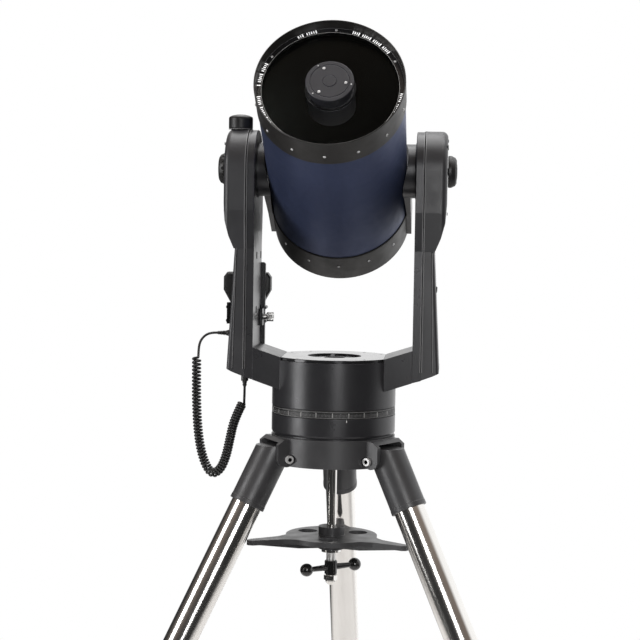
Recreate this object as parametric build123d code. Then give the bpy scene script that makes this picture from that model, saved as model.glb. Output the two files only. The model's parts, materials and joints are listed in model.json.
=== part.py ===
"""An eight inch Schmidt-Cassegrain telescope on a two-armed fork mount and a steel field tripod.

Units are millimetres and degrees, with +Z up. The model is worked out with the azimuth axis on X = Y = 0
and the floor at Z = 0, and at the end it is moved sideways so that the origin is the middle of its
footprint. Three frames carry the groups:
  tripod  - the floor frame; a leg is drawn in its own plane, X outward and Z up, and then turned
  fork    - the floor frame raised to the drive base's deck, which is fork height 0
  tube    - origin where the altitude axis crosses the optical axis, +Z towards the sky, +Y the upper side
"""
from build123d import *
from math import atan2, cos, degrees, hypot, pi, radians, sin, tan
import os

os.makedirs("parts", exist_ok=True)

# ---------------------------------------------------------------- driving dimensions
HEAD_TOP = 762.0          # tripod head above the floor, with the legs pushed in
BASE_HEIGHT = 129.0       # drive base, from its foot flange to the deck
FORK_AXIS = 304.6         # altitude axis above the deck
ALTITUDE = 31.4           # the tube points this far above the horizon
DECK = HEAD_TOP + BASE_HEIGHT

CELL_R = 115.5            # front and rear cell
SHELL_R = 114.0           # painted tube between them
LIP = 247.3               # front lip, ahead of the altitude axis
REAR = -158.5             # back of the rear cell
FRONT_CELL_LENGTH = 52.0
REAR_CELL_LENGTH = 67.5
CORRECTOR_DEPTH = 22.0    # corrector's front face, behind the lip
HOUSING_R = 37.0          # secondary mirror housing
FIT = 0.06                # radial clearance of every running fit

BASE_R = 101.9
ARM_INNER = 129.5         # inner face of a fork arm
ARM_SEAM = 143.5          # seam between the arm casting and its cover
BULB_OUTER = 180.0        # cover at the altitude bearing
BULB_BOTTOM = 175.0       # where the bearing cover steps down to the column
KNOB_OUTER = 194.6
KNOB_R = 26.0
SHAFT_R = 17.0

HEAD_R = 102.0
HEAD_DEPTH = 45.6
TRIPOD_TURN = -1.3        # the head is turned this far from the fork's front
LEG_LEAN = 27.4           # from the vertical
PIVOT_R = 96.0
PIVOT_Z = HEAD_TOP - 34.0
LEG_OFFSET = 15.1         # the leg's axis stands outside its pivot by this
LEG_TUBE_R = 25.4         # two inch tube
SOCKET_R = 29.0
SOCKET_LENGTH = 108.0

ROD_R = 7.5
SPREADER_TOP = -297.8     # fork height of the spreader plate's top
SPREADER_R = 75.7
SPREADER_REACH = 150.0
CORD_R = 2.1
COIL_R = 8.2

LEG_AZIMUTHS = (-60.0 + TRIPOD_TURN, 60.0 + TRIPOD_TURN, 180.0 + TRIPOD_TURN)
LEAN_SIN = sin(radians(LEG_LEAN))
LEAN_COS = cos(radians(LEG_LEAN))
LEAN_TAN = tan(radians(LEG_LEAN))

FORK = Pos(0, 0, DECK)
TUBE = Pos(0, 0, DECK + FORK_AXIS) * Rot(90 - ALTITUDE, 0, 0)

parts = {}                # node name -> solid or group of solids, in the azimuth frame


# ---------------------------------------------------------------- helpers
def ring(outer, inner, low, high):
    """A ring about Z between two heights, or a disc when inner is 0."""
    solid = Pos(0, 0, (low + high) / 2) * Cylinder(outer, high - low)
    if inner > 0:
        solid -= Pos(0, 0, (low + high) / 2) * Cylinder(inner, high - low + 2)
    return solid


def turned(outline):
    """An outline of (radius, height) points, turned about Z."""
    wire = Polyline(*[(r, 0, z) for r, z in outline], close=True)
    return revolve(make_face(wire), Axis.Z)


def block(x, y, z):
    """A box between pairs of limits."""
    size = [high - low for low, high in (x, y, z)]
    middle = [(high + low) / 2 for low, high in (x, y, z)]
    return Pos(*middle) * Box(*size)


def front_prism(outline, half_depth):
    """An outline of (x, z) points, extruded along Y to both sides."""
    face = make_face(Polyline(*[(x, 0, z) for x, z in outline], close=True))
    return extrude(face, half_depth, both=True)


def bar(start, end, radius, end_radius=None):
    """A round bar or cone between two points."""
    run = Vector(*end) - Vector(*start)
    frame = Plane(origin=start, z_dir=run).location
    if end_radius is None or end_radius == radius:
        solid = Cylinder(radius, run.length)
    else:
        solid = Cone(radius, end_radius, run.length)
    return frame * Pos(0, 0, run.length / 2) * solid


def mirrored(solid):
    """The same piece on the other side of the YZ plane."""
    return mirror(solid, Plane.YZ)


def group(*solids):
    """Separate solids that share one node."""
    return Compound([piece for solid in solids for piece in solid.solids()])


# ---------------------------------------------------------------- tripod
def leg_plane(azimuth):
    """Turns the leg plane (X outward) to an azimuth measured from the front towards +X."""
    return Rot(0, 0, azimuth - 90)


CUT_Z = HEAD_TOP - 14.0                                           # flat top of a leg socket
CUT_R = PIVOT_R + LEG_OFFSET / LEAN_COS + (PIVOT_Z - CUT_Z) * LEAN_TAN
LEG_END = CUT_Z / LEAN_COS                                        # along the leg, from the cut to the floor
LEG_DOWN = (LEAN_SIN, 0, -LEAN_COS)
LEG_OUT = (LEAN_COS, 0, LEAN_SIN)
LEG_AXIS = Plane(origin=(CUT_R, 0, CUT_Z), x_dir=LEG_OUT, z_dir=LEG_DOWN).location

LUG_INNER = 31.3
LUG_OUTER = 39.3
BRACKET_REACH = 115.0
BOLT_R = 5.0


def make_tripod_head():
    low = HEAD_TOP - HEAD_DEPTH
    head = ring(HEAD_R, 8.2, low, HEAD_TOP)
    head = chamfer(head.edges().filter_by(GeomType.CIRCLE).sort_by(Axis.Z)[-1:], 0.8)
    head -= ring(93.0, 24.0, low - 1, HEAD_TOP - 11)
    side = [(57, low), (105, low), (112, low + 3), (BRACKET_REACH, low + 10), (BRACKET_REACH, HEAD_TOP - 10),
            (104, HEAD_TOP - 2), (57, HEAD_TOP - 2)]
    for azimuth in LEG_AZIMUTHS:
        bracket = front_prism(side, LUG_OUTER)
        bolt_hole = Pos(PIVOT_R, 0, PIVOT_Z) * Rot(90, 0, 0) * Cylinder(BOLT_R, 100)
        spot_faces = ring(8.5, 0, -60, 60) - ring(10, 0, -LUG_OUTER, LUG_OUTER)
        spot_faces = Pos(PIVOT_R, 0, PIVOT_Z) * Rot(90, 0, 0) * spot_faces
        pocket = block((63, 140), (-LUG_INNER, LUG_INNER), (low - 5, HEAD_TOP - 7))
        head += leg_plane(azimuth) * bracket
        head -= leg_plane(azimuth) * (pocket + bolt_hole + spot_faces)
    return head


def make_pivot_bolts():
    bolts = []
    for azimuth in LEG_AZIMUTHS:
        bolt = Cylinder(BOLT_R, 2 * LUG_OUTER)
        for side in (-1, 1):
            bolt += Pos(0, 0, side * (LUG_OUTER + 2.5)) * Cylinder(6.6, 5)
            recess = extrude(RegularPolygon(3.6, 6), 3.5, both=True)
            bolt -= Pos(0, 0, side * (LUG_OUTER + 5)) * recess
        bolts.append(leg_plane(azimuth) * Pos(PIVOT_R, 0, PIVOT_Z) * Rot(90, 0, 0) * bolt)
    return group(*bolts)


TUBE_START = 26.0
TUBE_END = 765.0
COLLAR = (728.0, 792.0)
SCREW_AT = 778.0
BOSS_END = 42.0
EXTENSION_R = 22.9
EXTENSION = (300.0, 822.0)


def make_socket():
    socket = LEG_AXIS * ring(SOCKET_R, 0, -40, SOCKET_LENGTH)
    socket -= block((0, 300), (-60, 60), (CUT_Z, CUT_Z + 80))
    socket += Pos(PIVOT_R, 0, PIVOT_Z) * Rot(90, 0, 0) * Cylinder(14, 2 * LUG_INNER - 0.6)
    swing = Pos(PIVOT_R, 0, PIVOT_Z) * Rot(90, 0, 0) * Cylinder(26, 80)
    socket -= block((0, PIVOT_R), (-60, 60), (PIVOT_Z, CUT_Z + 40)) - swing
    socket -= LEG_AXIS * ring(LEG_TUBE_R, 0, TUBE_START, SOCKET_LENGTH + 5)
    return socket - Pos(PIVOT_R, 0, PIVOT_Z) * Rot(90, 0, 0) * Cylinder(BOLT_R + FIT, 80)


def make_collar():
    low, high = COLLAR
    collar = turned([(LEG_TUBE_R, low), (28.5, low), (31, low + 4), (31, high - 3), (29, high),
                     (EXTENSION_R + FIT, high), (EXTENSION_R + FIT, TUBE_END), (LEG_TUBE_R, TUBE_END)])
    boss = bar((24, 0, SCREW_AT), (BOSS_END, 0, SCREW_AT), 10) - ring(24.5, 0, low, high)
    hole = bar((0, 0, SCREW_AT), (60, 0, SCREW_AT), 4 + FIT)
    return LEG_AXIS * (collar + boss - hole)


def make_lock_knob():
    screw = bar((EXTENSION_R + 0.3, 0, SCREW_AT), (BOSS_END + 2, 0, SCREW_AT), 4)
    grip = bar((BOSS_END + 0.6, 0, SCREW_AT), (BOSS_END + 17, 0, SCREW_AT), 17)
    grip = chamfer(grip.edges().filter_by(GeomType.CIRCLE), 2)
    for step in range(8):
        around = radians(45 * step)
        flute_y = 19.5 * cos(around)
        flute_z = SCREW_AT + 19.5 * sin(around)
        grip -= bar((BOSS_END - 2, flute_y, flute_z), (BOSS_END + 20, flute_y, flute_z), 5)
    return LEG_AXIS * (screw + grip)


def make_foot():
    top = COLLAR[1] + 2
    foot = turned([(EXTENSION_R, top), (26, top), (27.5, top + 3), (27.5, LEG_END + 30), (0, LEG_END + 30),
                   (0, EXTENSION[1]), (EXTENSION_R, EXTENSION[1])])
    return LEG_AXIS * foot - block((0, 900), (-90, 90), (-200, 0))


LEG_PIECES = {
    "socket": make_socket(),
    "tube": LEG_AXIS * ring(LEG_TUBE_R, LEG_TUBE_R - 2, TUBE_START, TUBE_END),
    "collar": make_collar(),
    "extension": LEG_AXIS * ring(EXTENSION_R, EXTENSION_R - 1.8, *EXTENSION),
    "foot": make_foot(),
    "lock_knob": make_lock_knob(),
}

parts["tripod_head"] = make_tripod_head()
parts["leg_pivot_bolts"] = make_pivot_bolts()
for number, azimuth in enumerate(LEG_AZIMUTHS, 1):
    for piece, solid in LEG_PIECES.items():
        parts[f"leg_{number}_{piece}"] = leg_plane(azimuth) * solid


# ---------------------------------------------------------------- centre rod and spreader
ROD_TOP = -99.0
NUT_BOTTOM = -383.0
HANDLE_Z = -353.0
HANDLE_TURN = 38.0        # the bar's near end is to the left
HANDLE_REACH = 48.0


def make_rod():
    rod = ring(ROD_R, 0, -378, ROD_TOP)
    rod = chamfer(rod.edges().filter_by(GeomType.CIRCLE), 0.8)
    washer = ring(16, ROD_R, -326.5, -322.5)
    hexagon = Pos(0, 0, -374) * extrude(RegularPolygon(11.5, 6), 8)
    dome = Pos(0, 0, -374) * Sphere(9) & block((-20, 20), (-20, 20), (NUT_BOTTOM, -374))
    nut = hexagon + dome - ring(ROD_R, 0, -378, -360)
    return FORK * group(rod, washer, nut)


def make_handle():
    hub = ring(10.5, ROD_R, HANDLE_Z - 12, HANDLE_Z + 12)
    hub = chamfer(hub.edges().filter_by(GeomType.CIRCLE).filter_by(lambda edge: edge.radius > 9), 1.5)
    pieces = []
    for side in (-1, 1):
        hub += bar((side * 9.5, 0, HANDLE_Z), (side * 38.2, 0, HANDLE_Z), 5.2, 4.2)
        ball = Pos(side * HANDLE_REACH, 0, HANDLE_Z) * Sphere(10.8)
        pieces.append(ball - bar((side * 20, 0, HANDLE_Z), (side * 38.2, 0, HANDLE_Z), 6.5))
    hub -= ring(ROD_R, 0, HANDLE_Z - 20, HANDLE_Z + 20)
    return FORK * Rot(0, 0, HANDLE_TURN) * group(hub, *pieces)


def make_spreader():
    low = SPREADER_TOP - 8.2
    plate = ring(SPREADER_R, 0, low, SPREADER_TOP)
    for azimuth in LEG_AZIMUTHS:
        outline = [(0, -34), (66, -27), (92, -14), (SPREADER_REACH - 6, -8), (SPREADER_REACH, -3),
                   (SPREADER_REACH, 3), (SPREADER_REACH - 6, 8), (92, 14), (66, 27), (0, 34)]
        arm = Pos(0, 0, low) * extrude(make_face(Polyline(*outline, close=True)), 8.2)
        rib = front_prism([(0, low), (138, low), (60, low - 11), (0, low - 14)], 4)
        plate += leg_plane(azimuth) * (arm + rib)
    for azimuth in LEG_AZIMUTHS:
        plate -= leg_plane(azimuth + 60) * Pos(48.5, 0, low) * Cylinder(16.2, 40)
    plate += ring(21.5, 0, low - 15, SPREADER_TOP + 14)
    return FORK * (plate - ring(ROD_R + FIT, 0, low - 30, SPREADER_TOP + 30))


parts["threaded_rod"] = make_rod()
parts["tension_handle"] = make_handle()
parts["spreader_plate"] = make_spreader()


# ---------------------------------------------------------------- drive base and fork base
WHEEL_Z = (-72.0, -62.0)
WHEEL_R = 74.4
WORM_Y = 82.0
WORM_Z = (WHEEL_Z[0] + WHEEL_Z[1]) / 2
WEB_HALF = 57.0           # half depth of the fork, front to back
PLATE_HALF = 83.3         # the deck plate's half width between the two webs
PORT_R = 17.5             # the hole for cables in the middle of the deck
PORT_DEPTH = 3.0          # how far the floor round it lies under the deck


def make_drive_base():
    low = -BASE_HEIGHT
    return FORK * turned([(ROD_R + FIT, low), (96.5, low), (96.5, -126), (99, -126), (100.8, -125),
                          (BASE_R, -122.5), (BASE_R, -94.3), (90, -94.3), (90, -81), (86, -81), (86, -106),
                          (30, -106), (20, -100), (20, -18), (12, -18), (12, -98), (ROD_R + FIT, -98)])


def make_fork_base():
    base = turned([(96, -80), (BASE_R, -80), (BASE_R, -5), (47, -5), (47, -24), (20 + FIT, -24),
                   (20 + FIT, -60), (28, -60), (28, -30), (53, -30), (53, -13), (96, -13)])
    web = front_prism([(60, -5), (PLATE_HALF + 0.5, -5), (PLATE_HALF + 0.5, 0), (ARM_INNER, 14.8),
                       (ARM_INNER, -37.6), (96.5, -48.8), (60, -61)], WEB_HALF)
    web -= ring(96.5, 0, -90, -5.0)
    web -= block((98, ARM_INNER + 1), (-50, 50), (-32, -1))
    base += web + mirrored(web)
    base -= block((-PLATE_HALF - 0.2, PLATE_HALF + 0.2), (-110, 110), (-5, 30))
    for side in (-1, 1):
        pillar = block((side * 27 - 3, side * 27 + 3), (74, 90), (-74, -12))
        base += pillar - bar((-40, WORM_Y, WORM_Z), (40, WORM_Y, WORM_Z), 4 + FIT)
    hole = bar((0, 60, -50), (0, 120, -50), 4 + FIT)
    return FORK * (base - hole)


def make_deck_plate():
    plate = ring(99, 44, -5, 0) + ring(45, PORT_R, -5, -PORT_DEPTH)
    plate &= block((-PLATE_HALF, PLATE_HALF), (-110, 110), (-6, 1))
    plate = chamfer(plate.edges().filter_by(GeomType.CIRCLE).group_by(Axis.Z)[-1], 0.8)
    for azimuth in (-39, 37, 121.7, -121.7, 149, -149):
        plate -= Rot(0, 0, azimuth - 90) * Pos(88, 0, 0) * Cylinder(2.6, 2.4)
    return FORK * plate


def make_lock_lever():
    lever = bar((0, 92, -50), (0, 104, -50), 4)
    lever += bar((0, BASE_R + 0.6, -50), (0, BASE_R + 12, -50), 9)
    arm = block((-5, 5), (BASE_R + 3, BASE_R + 9), (-50, -22))
    arm = fillet(arm.edges().filter_by(Axis.Y).group_by(Axis.Z)[-1], 4.5)
    return FORK * (lever + arm)


def make_worm_wheel():
    low, high = WHEEL_Z
    return FORK * turned([(20, low), (WHEEL_R, low), (WHEEL_R, high), (60, high), (56, high - 4),
                          (34, high - 4), (32, high), (20, high)])


def make_setting_circle():
    return FORK * turned([(90 + FIT, -94), (101.1, -94), (101.4, -93.7), (101.4, -80.8), (101.1, -80.5),
                          (90 + FIT, -80.5)])


def make_worm():
    thread = bar((-20, WORM_Y, WORM_Z), (20, WORM_Y, WORM_Z), 7)
    return FORK * (thread + bar((-29, WORM_Y, WORM_Z), (29, WORM_Y, WORM_Z), 4))


parts["drive_base"] = make_drive_base()
parts["azimuth_worm_wheel"] = make_worm_wheel()
parts["azimuth_setting_circle"] = make_setting_circle()
parts["fork_base"] = make_fork_base()
parts["base_top_plate"] = make_deck_plate()
parts["azimuth_worm"] = make_worm()
parts["azimuth_lock_lever"] = make_lock_lever()


# ---------------------------------------------------------------- fork arms
ARM_BOTTOM = -33.0        # under the seam
ARM_STEP_HALF = 57.0      # half depth where the bearing cover ends
BULB_R = 65.0
BULB_CREASE = 237.0       # below this height the bearing cover narrows towards its step
CASTING_R = BULB_R - 1


def arm_side(head_r, half, low):
    """An arm seen from the side: a round head on a column, as a face in the YZ plane."""
    rise = [(half, low), (half, BULB_BOTTOM), (head_r, BULB_CREASE), (head_r, FORK_AXIS)]
    if low >= BULB_BOTTOM:
        rise.pop(1)
    fall = [(-y, z) for y, z in reversed(rise)]
    head = ThreePointArc(rise[-1], (0, FORK_AXIS + head_r), fall[0])
    return Plane.YZ * make_face(Polyline(*rise) + head + Polyline(*fall, rise[0]))


def make_casting():
    """The right arm's inner casting: an open tray with a bearing boss."""
    thickness = ARM_SEAM - ARM_INNER
    casting = Pos(ARM_INNER, 0, 0) * extrude(arm_side(CASTING_R, 56.5, ARM_BOTTOM - 4), thickness)
    casting -= Pos(ARM_INNER + 4.5, 0, 0) * extrude(arm_side(CASTING_R - 5, 51, -26), thickness)
    casting -= front_prism([(ARM_INNER - 1, -37.6), (ARM_SEAM + 1, ARM_BOTTOM - 0.3),
                            (ARM_SEAM + 1, -60), (ARM_INNER - 1, -60)], 80)
    casting += bar((ARM_INNER + 4, 0, FORK_AXIS), (ARM_SEAM - 1, 0, FORK_AXIS), 30)
    rim = casting.edges().filter_by(GeomType.CIRCLE)
    rim = rim.filter_by(lambda edge: abs(edge.radius - CASTING_R) < 0.1)
    casting = chamfer(rim.sort_by(Axis.X)[:1], 1.0)
    return casting - bar((ARM_INNER - 5, 0, FORK_AXIS), (ARM_SEAM + 5, 0, FORK_AXIS), SHAFT_R + FIT)


def cover_body(inset, rounding):
    """The right arm's cover as a full body, drawn inset by a wall thickness."""
    side = arm_side(BULB_R - inset, ARM_STEP_HALF + 1 - inset, BULB_BOTTOM + inset)
    bulb = Pos(ARM_SEAM, 0, 0) * extrude(side, BULB_OUTER - inset - ARM_SEAM)
    outer = bulb.faces().sort_by(Axis.X)[-1]
    bulb = fillet(outer.edges().filter_by(lambda edge: edge.center().Z > BULB_BOTTOM + 10), rounding)
    taper = [(BULB_OUTER, 252), (177.7, 220), (171, 195), (162.5, BULB_BOTTOM), (162.5, BULB_BOTTOM - 9),
             (220, BULB_BOTTOM - 9), (220, 252)]
    bulb -= front_prism([(x - inset, z) for x, z in taper], 90)
    column = [(ARM_SEAM, ARM_BOTTOM + inset), (162, -26 + inset), (172.6 - inset, -21 + inset),
              (161.5 - inset, BULB_BOTTOM + 2 * inset), (ARM_SEAM, BULB_BOTTOM + 2 * inset)]
    column = front_prism(column, ARM_STEP_HALF - 1 - inset)
    corners = column.edges().filter_by(lambda edge: edge.center().X > 160 and edge.length > 150)
    return bulb + fillet(corners, rounding * 0.6)


def make_cover():
    cover = cover_body(0, 10) - cover_body(4, 6)
    cover -= front_prism([(ARM_SEAM - 5, -60), (ARM_SEAM, -60), (ARM_SEAM, 400), (ARM_SEAM - 5, 400)], 90)
    return cover - bar((160, 0, FORK_AXIS), (200, 0, FORK_AXIS), 6 + FIT)


def make_knob(flutes):
    """A knob on the right arm: a domed disc on a stud, with finger flutes or plain."""
    knob = Rot(0, 90, 0) * turned([(0, BULB_OUTER - 8), (6, BULB_OUTER - 8), (6, BULB_OUTER + 0.6),
                                   (KNOB_R - 1, BULB_OUTER + 0.6), (KNOB_R, BULB_OUTER + 2),
                                   (KNOB_R, BULB_OUTER + 6), (KNOB_R - 3, KNOB_OUTER - 2.5),
                                   (KNOB_R - 7, KNOB_OUTER), (0, KNOB_OUTER)])
    for step in range(flutes):
        around = 2 * pi * step / flutes
        y, z = (KNOB_R + 2.2) * cos(around), (KNOB_R + 2.2) * sin(around)
        knob -= bar((BULB_OUTER + 4, y, z), (KNOB_OUTER + 5, y, z), 4)
    return Pos(0, 0, FORK_AXIS) * knob


def make_gps_receiver():
    centre = -160.5
    puck = turned([(0, 356), (15.5, 356), (15.5, 370), (18.8, 370), (19.8, 371.5), (19.8, 387), (18.8, 389.5),
                   (14, 391.8), (7, 393.3), (0, 393.8)])
    return Pos(centre, 0, 0) * puck - mirrored(cover_body(0, 10))


casting = make_casting()
cover = make_cover()
parts["left_arm_casting"] = FORK * mirrored(casting)
parts["left_arm_cover"] = FORK * mirrored(cover)
parts["right_arm_casting"] = FORK * casting
parts["right_arm_cover"] = FORK * cover
parts["altitude_lock_knob"] = FORK * mirrored(make_knob(16))
parts["slow_motion_knob"] = FORK * make_knob(0)
parts["gps_receiver"] = FORK * make_gps_receiver()


# ---------------------------------------------------------------- hand controller and its cord
HANDBOX_X = -155.8
HANDBOX_Y = (72.0, 100.0)
HANDBOX_TOP = 132.0
HANDBOX_BOTTOM = 2.0
EXIT_Z = 27.5             # the cord leaves the hand controller sideways here
PORT = (-146.0, -20.0)    # its other end goes up into the left arm here


def make_handbox():
    low, high = HANDBOX_BOTTOM, HANDBOX_TOP
    outline = [(-22, low), (22, low), (26, low + 5), (26, 77), (40, 102), (40, high - 8), (34, high),
               (-34, high), (-40, high - 8), (-40, 102), (-26, 77), (-26, low + 5)]
    box = front_prism(outline, (HANDBOX_Y[1] - HANDBOX_Y[0]) / 2)
    box = chamfer(box.faces().sort_by(Axis.Y)[-1].edges() + box.faces().sort_by(Axis.Y)[0].edges(), 3)
    return FORK * Pos(HANDBOX_X, (HANDBOX_Y[0] + HANDBOX_Y[1]) / 2, 0) * box


def make_keys():
    keys = []
    for row in range(5):
        for column in range(3):
            key = block((-6, 6), (0, 2.4), (-3.5, 3.5))
            key = fillet(key.edges().filter_by(Axis.Y), 2)
            keys.append(Pos(HANDBOX_X + 16 * (column - 1), HANDBOX_Y[1] + 1.3, 20 + 12 * row) * key)
    return FORK * group(*keys)


def make_bracket():
    plate = block((-176, -123), (59, 68), (5, 150))
    plate = fillet(plate.edges().filter_by(Axis.Y), 4)
    wings = block((-188, -123), (60, 68), (45, 81))
    hooks = []
    for x in (-187, -124.6):
        for z in (50, 73):
            hooks.append(bar((x, 66, z), (x, 90, z), 3.2))
    for hook in hooks:
        wings += hook
    jaw = block((-128.8, -124), (30, 66), (45, 73))
    jaw -= bar((-140, 46, 59), (-100, 46, 59), 3 + FIT)
    return FORK * (plate + wings + jaw)


def make_thumbscrew():
    screw = bar((-129.2, 46, 59), (-120, 46, 59), 3)
    screw += bar((-123.4, 46, 59), (-118, 46, 59), 5)
    return FORK * (screw + bar((-118, 46, 59), (-106.5, 46, 59), 7.6))


COIL = [(-236.5, 48, -12), (-235.5, 42, -46), (-234, 36, -84), (-231, 29, -122), (-225.5, 22, -158),
        (-216, 17, -188), (-203, 12, -205), (-188, 7, -196), (-178, 3, -172), (-172, -1, -144),
        (-164, -6, -108), (-150, -12, -81)]


def before(first, second, share):
    """A point that leads straight into a run."""
    return tuple(a - share * (b - a) for a, b in zip(first, second))


EXIT_TIP = (-207.5, 84.0, EXIT_Z)
PORT_TIP = (PORT[0], PORT[1], -52.0)
UPPER_TAIL = [EXIT_TIP, (-218, 84, EXIT_Z), (-229, 78, 22), (-235.5, 66, 10), before(COIL[0], COIL[1], 0.3),
              COIL[0]]
LOWER_TAIL = [PORT_TIP, (PORT[0], PORT[1], -62), before(COIL[-1], COIL[-2], 0.3), COIL[-1]]


def cord_tube(points, radius, name):
    """A tube along straight runs joined by arcs that are as large as the runs allow."""
    corners = [Vector(*point) for point in points]
    radii = []
    for before_it, here, after_it in zip(corners, corners[1:], corners[2:]):
        arriving, leaving = here - before_it, after_it - here
        half_turn = radians(arriving.get_angle(leaving)) / 2
        radii.append(0.45 * min(arriving.length, leaving.length) / tan(half_turn))
    path = FilletPolyline(*corners, radius=radii)
    section = Plane(origin=corners[0], z_dir=corners[1] - corners[0]) * Circle(radius)
    solid = sweep(section, path)
    print(name, "length", round(path.length, 1), "smallest radius", round(min(radii), 1),
          "volume ratio", round(solid.volume / (pi * radius ** 2 * path.length), 4))
    return solid


def make_plugs():
    relief = bar((HANDBOX_X - 26, 84, EXIT_Z), (-192, 84, EXIT_Z), 5.0, 4.6) + bar(
        (-192, 84, EXIT_Z), EXIT_TIP, 4.0, 2.7)
    boot = bar((PORT[0], PORT[1], -20), (PORT[0], PORT[1], -43), 5.0) + bar(
        (PORT[0], PORT[1], -43), PORT_TIP, 3.8, 2.7)
    under = front_prism([(ARM_INNER - 1, -37.6), (ARM_SEAM + 1, ARM_BOTTOM - 0.3), (ARM_SEAM + 1, 10),
                         (ARM_INNER - 1, 10)], 50)
    boot -= mirrored(cover_body(0, 10) + under)
    return FORK * group(relief, boot)


parts["handbox_shell"] = make_handbox()
parts["handbox_keys"] = make_keys()
parts["handbox_bracket"] = make_bracket()
parts["bracket_thumbscrew"] = make_thumbscrew()
parts["cord_plugs"] = make_plugs()
parts["cord_coil"] = FORK * cord_tube(COIL, COIL_R, "cord_coil")
parts["cord_tail_upper"] = FORK * cord_tube(UPPER_TAIL, CORD_R, "cord_tail_upper")
parts["cord_tail_lower"] = FORK * cord_tube(LOWER_TAIL, CORD_R, "cord_tail_lower")


# ---------------------------------------------------------------- optical tube
GLASS_FRONT = LIP - CORRECTOR_DEPTH
GLASS_BACK = GLASS_FRONT - 5.0
CELL_BACK = LIP - FRONT_CELL_LENGTH
RECESS_R = 113.6          # the front cell's recess, in which the glass and its ring lie
REAR_LIP = REAR + REAR_CELL_LENGTH
PLATE_BACK = REAR + 8.0
MIRROR_BACK = -122.0
BAFFLE_R = 19.0
NOSE_R = 15.85            # 1.25 inch barrel
SOCKET_1_25 = 15.93
FOCUS_X, FOCUS_Y = 42.0, -46.0
FINDER_X, FINDER_Y = -103.0, 103.0


def make_front_cell():
    return TUBE * turned([(114, LIP), (114.6, LIP), (CELL_R, LIP - 1), (CELL_R, CELL_BACK),
                          (SHELL_R, CELL_BACK), (SHELL_R, CELL_BACK + 12), (111, CELL_BACK + 12),
                          (111, GLASS_BACK - 8), (106, GLASS_BACK - 8), (106, GLASS_BACK),
                          (RECESS_R, GLASS_BACK), (RECESS_R, LIP - 0.6)])


def make_secondary():
    housing = turned([(0, LIP + 0.5), (10, LIP + 0.5), (10, LIP - 0.7), (11, LIP - 0.7), (11, LIP),
                      (29.3, LIP), (29.3, LIP - 1), (30.7, LIP - 1), (30.7, LIP), (36, LIP),
                      (HOUSING_R, LIP - 1), (HOUSING_R, LIP - 5), (34, LIP - 5), (34, GLASS_FRONT),
                      (28, GLASS_FRONT), (28, GLASS_BACK), (37.5, GLASS_BACK), (37.5, GLASS_BACK - 38),
                      (35.5, GLASS_BACK - 38), (35.5, GLASS_BACK - 15), (0, GLASS_BACK - 15)])
    return TUBE * group(housing, ring(35, 0, GLASS_BACK - 21, GLASS_BACK - 15))


def make_rear_cell():
    cell = turned([(22, REAR), (113, REAR), (CELL_R, REAR + 2.5), (CELL_R, REAR_LIP), (SHELL_R, REAR_LIP),
                   (SHELL_R, REAR_LIP - 9), (110, REAR_LIP - 9), (110, PLATE_BACK), (22, PLATE_BACK)])
    cell += Pos(FOCUS_X, FOCUS_Y, 0) * ring(12, 0, REAR - 9, REAR + 1)
    return TUBE * (cell - Pos(FOCUS_X, FOCUS_Y, 0) * ring(4 + FIT, 0, REAR - 20, REAR + 20))


def make_focus_knob():
    knob = ring(4, 0, REAR - 12, PLATE_BACK - 2) + ring(15, 0, REAR - 33, REAR - 9.6)
    knob = chamfer(knob.edges().filter_by(GeomType.CIRCLE).filter_by(lambda edge: edge.radius > 14), 1.5)
    for step in range(18):
        around = 2 * pi * step / 18
        knob -= Pos(15.8 * cos(around), 15.8 * sin(around), 0) * ring(1.6, 0, REAR - 31, REAR - 12)
    return TUBE * Pos(FOCUS_X, FOCUS_Y, 0) * knob


def make_saddle_plate():
    """The right side bar: a plate from the altitude hub back to the rear cell, with its half shaft."""
    outline = [(-26, REAR + 3), (26, REAR + 3), (29, REAR_LIP), (40, -18), (-40, -18), (-29, REAR_LIP)]
    strut = extrude(Plane.YZ * make_face(Polyline(*outline, close=True)), 16)
    plate = Pos(104, 0, 0) * (strut + extrude(Plane.YZ * Circle(44), 19.5))
    plate -= ring(CELL_R, 0, REAR - 5, REAR_LIP + 0.3) + ring(CELL_R + 1, 0, REAR_LIP, 60)
    plate += bar((123, 0, 0), (128.7, 0, 0), 44)
    return plate + bar((125, 0, 0), (168, 0, 0), SHAFT_R)


def make_star_diagonal():
    back = REAR - 42
    body = block((-21, 21), (-22, 25), (back - 44, back))
    corner = make_face(Polyline((0, -23, back - 14), (0, -23, back - 45), (0, 8, back - 45), close=True))
    body -= extrude(corner, 30, both=True)
    centre = back - 22
    body += bar((0, 24, centre), (0, 56, centre), 19.5)
    body += ring(NOSE_R, 0, back - 1, REAR - 4)
    body -= bar((0, 30, centre), (0, 60, centre), SOCKET_1_25)
    return TUBE * (body - ring(13.5, 0, back + 2, REAR))


def make_eyepiece():
    centre = REAR - 64
    eyepiece = turned([(13.5, 31), (NOSE_R, 31), (NOSE_R, 56.4), (20, 56.4), (21.5, 58), (21.5, 84), (20, 86),
                       (20, 98), (18, 106), (10, 106), (8.5, 100), (0, 100), (0, 60), (13.5, 56)])
    return TUBE * Pos(0, 0, centre) * Rot(-90, 0, 0) * eyepiece


def make_finder():
    finder = turned([(0, 52), (25, 52), (25, 62), (28, 62), (28, 12), (19, -6), (19, -132), (15, -134),
                     (15, -142), (16.5, -143), (16.5, -150), (8, -150), (8, -146), (0, -146)])
    return TUBE * Pos(FINDER_X, FINDER_Y, 0) * finder


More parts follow.
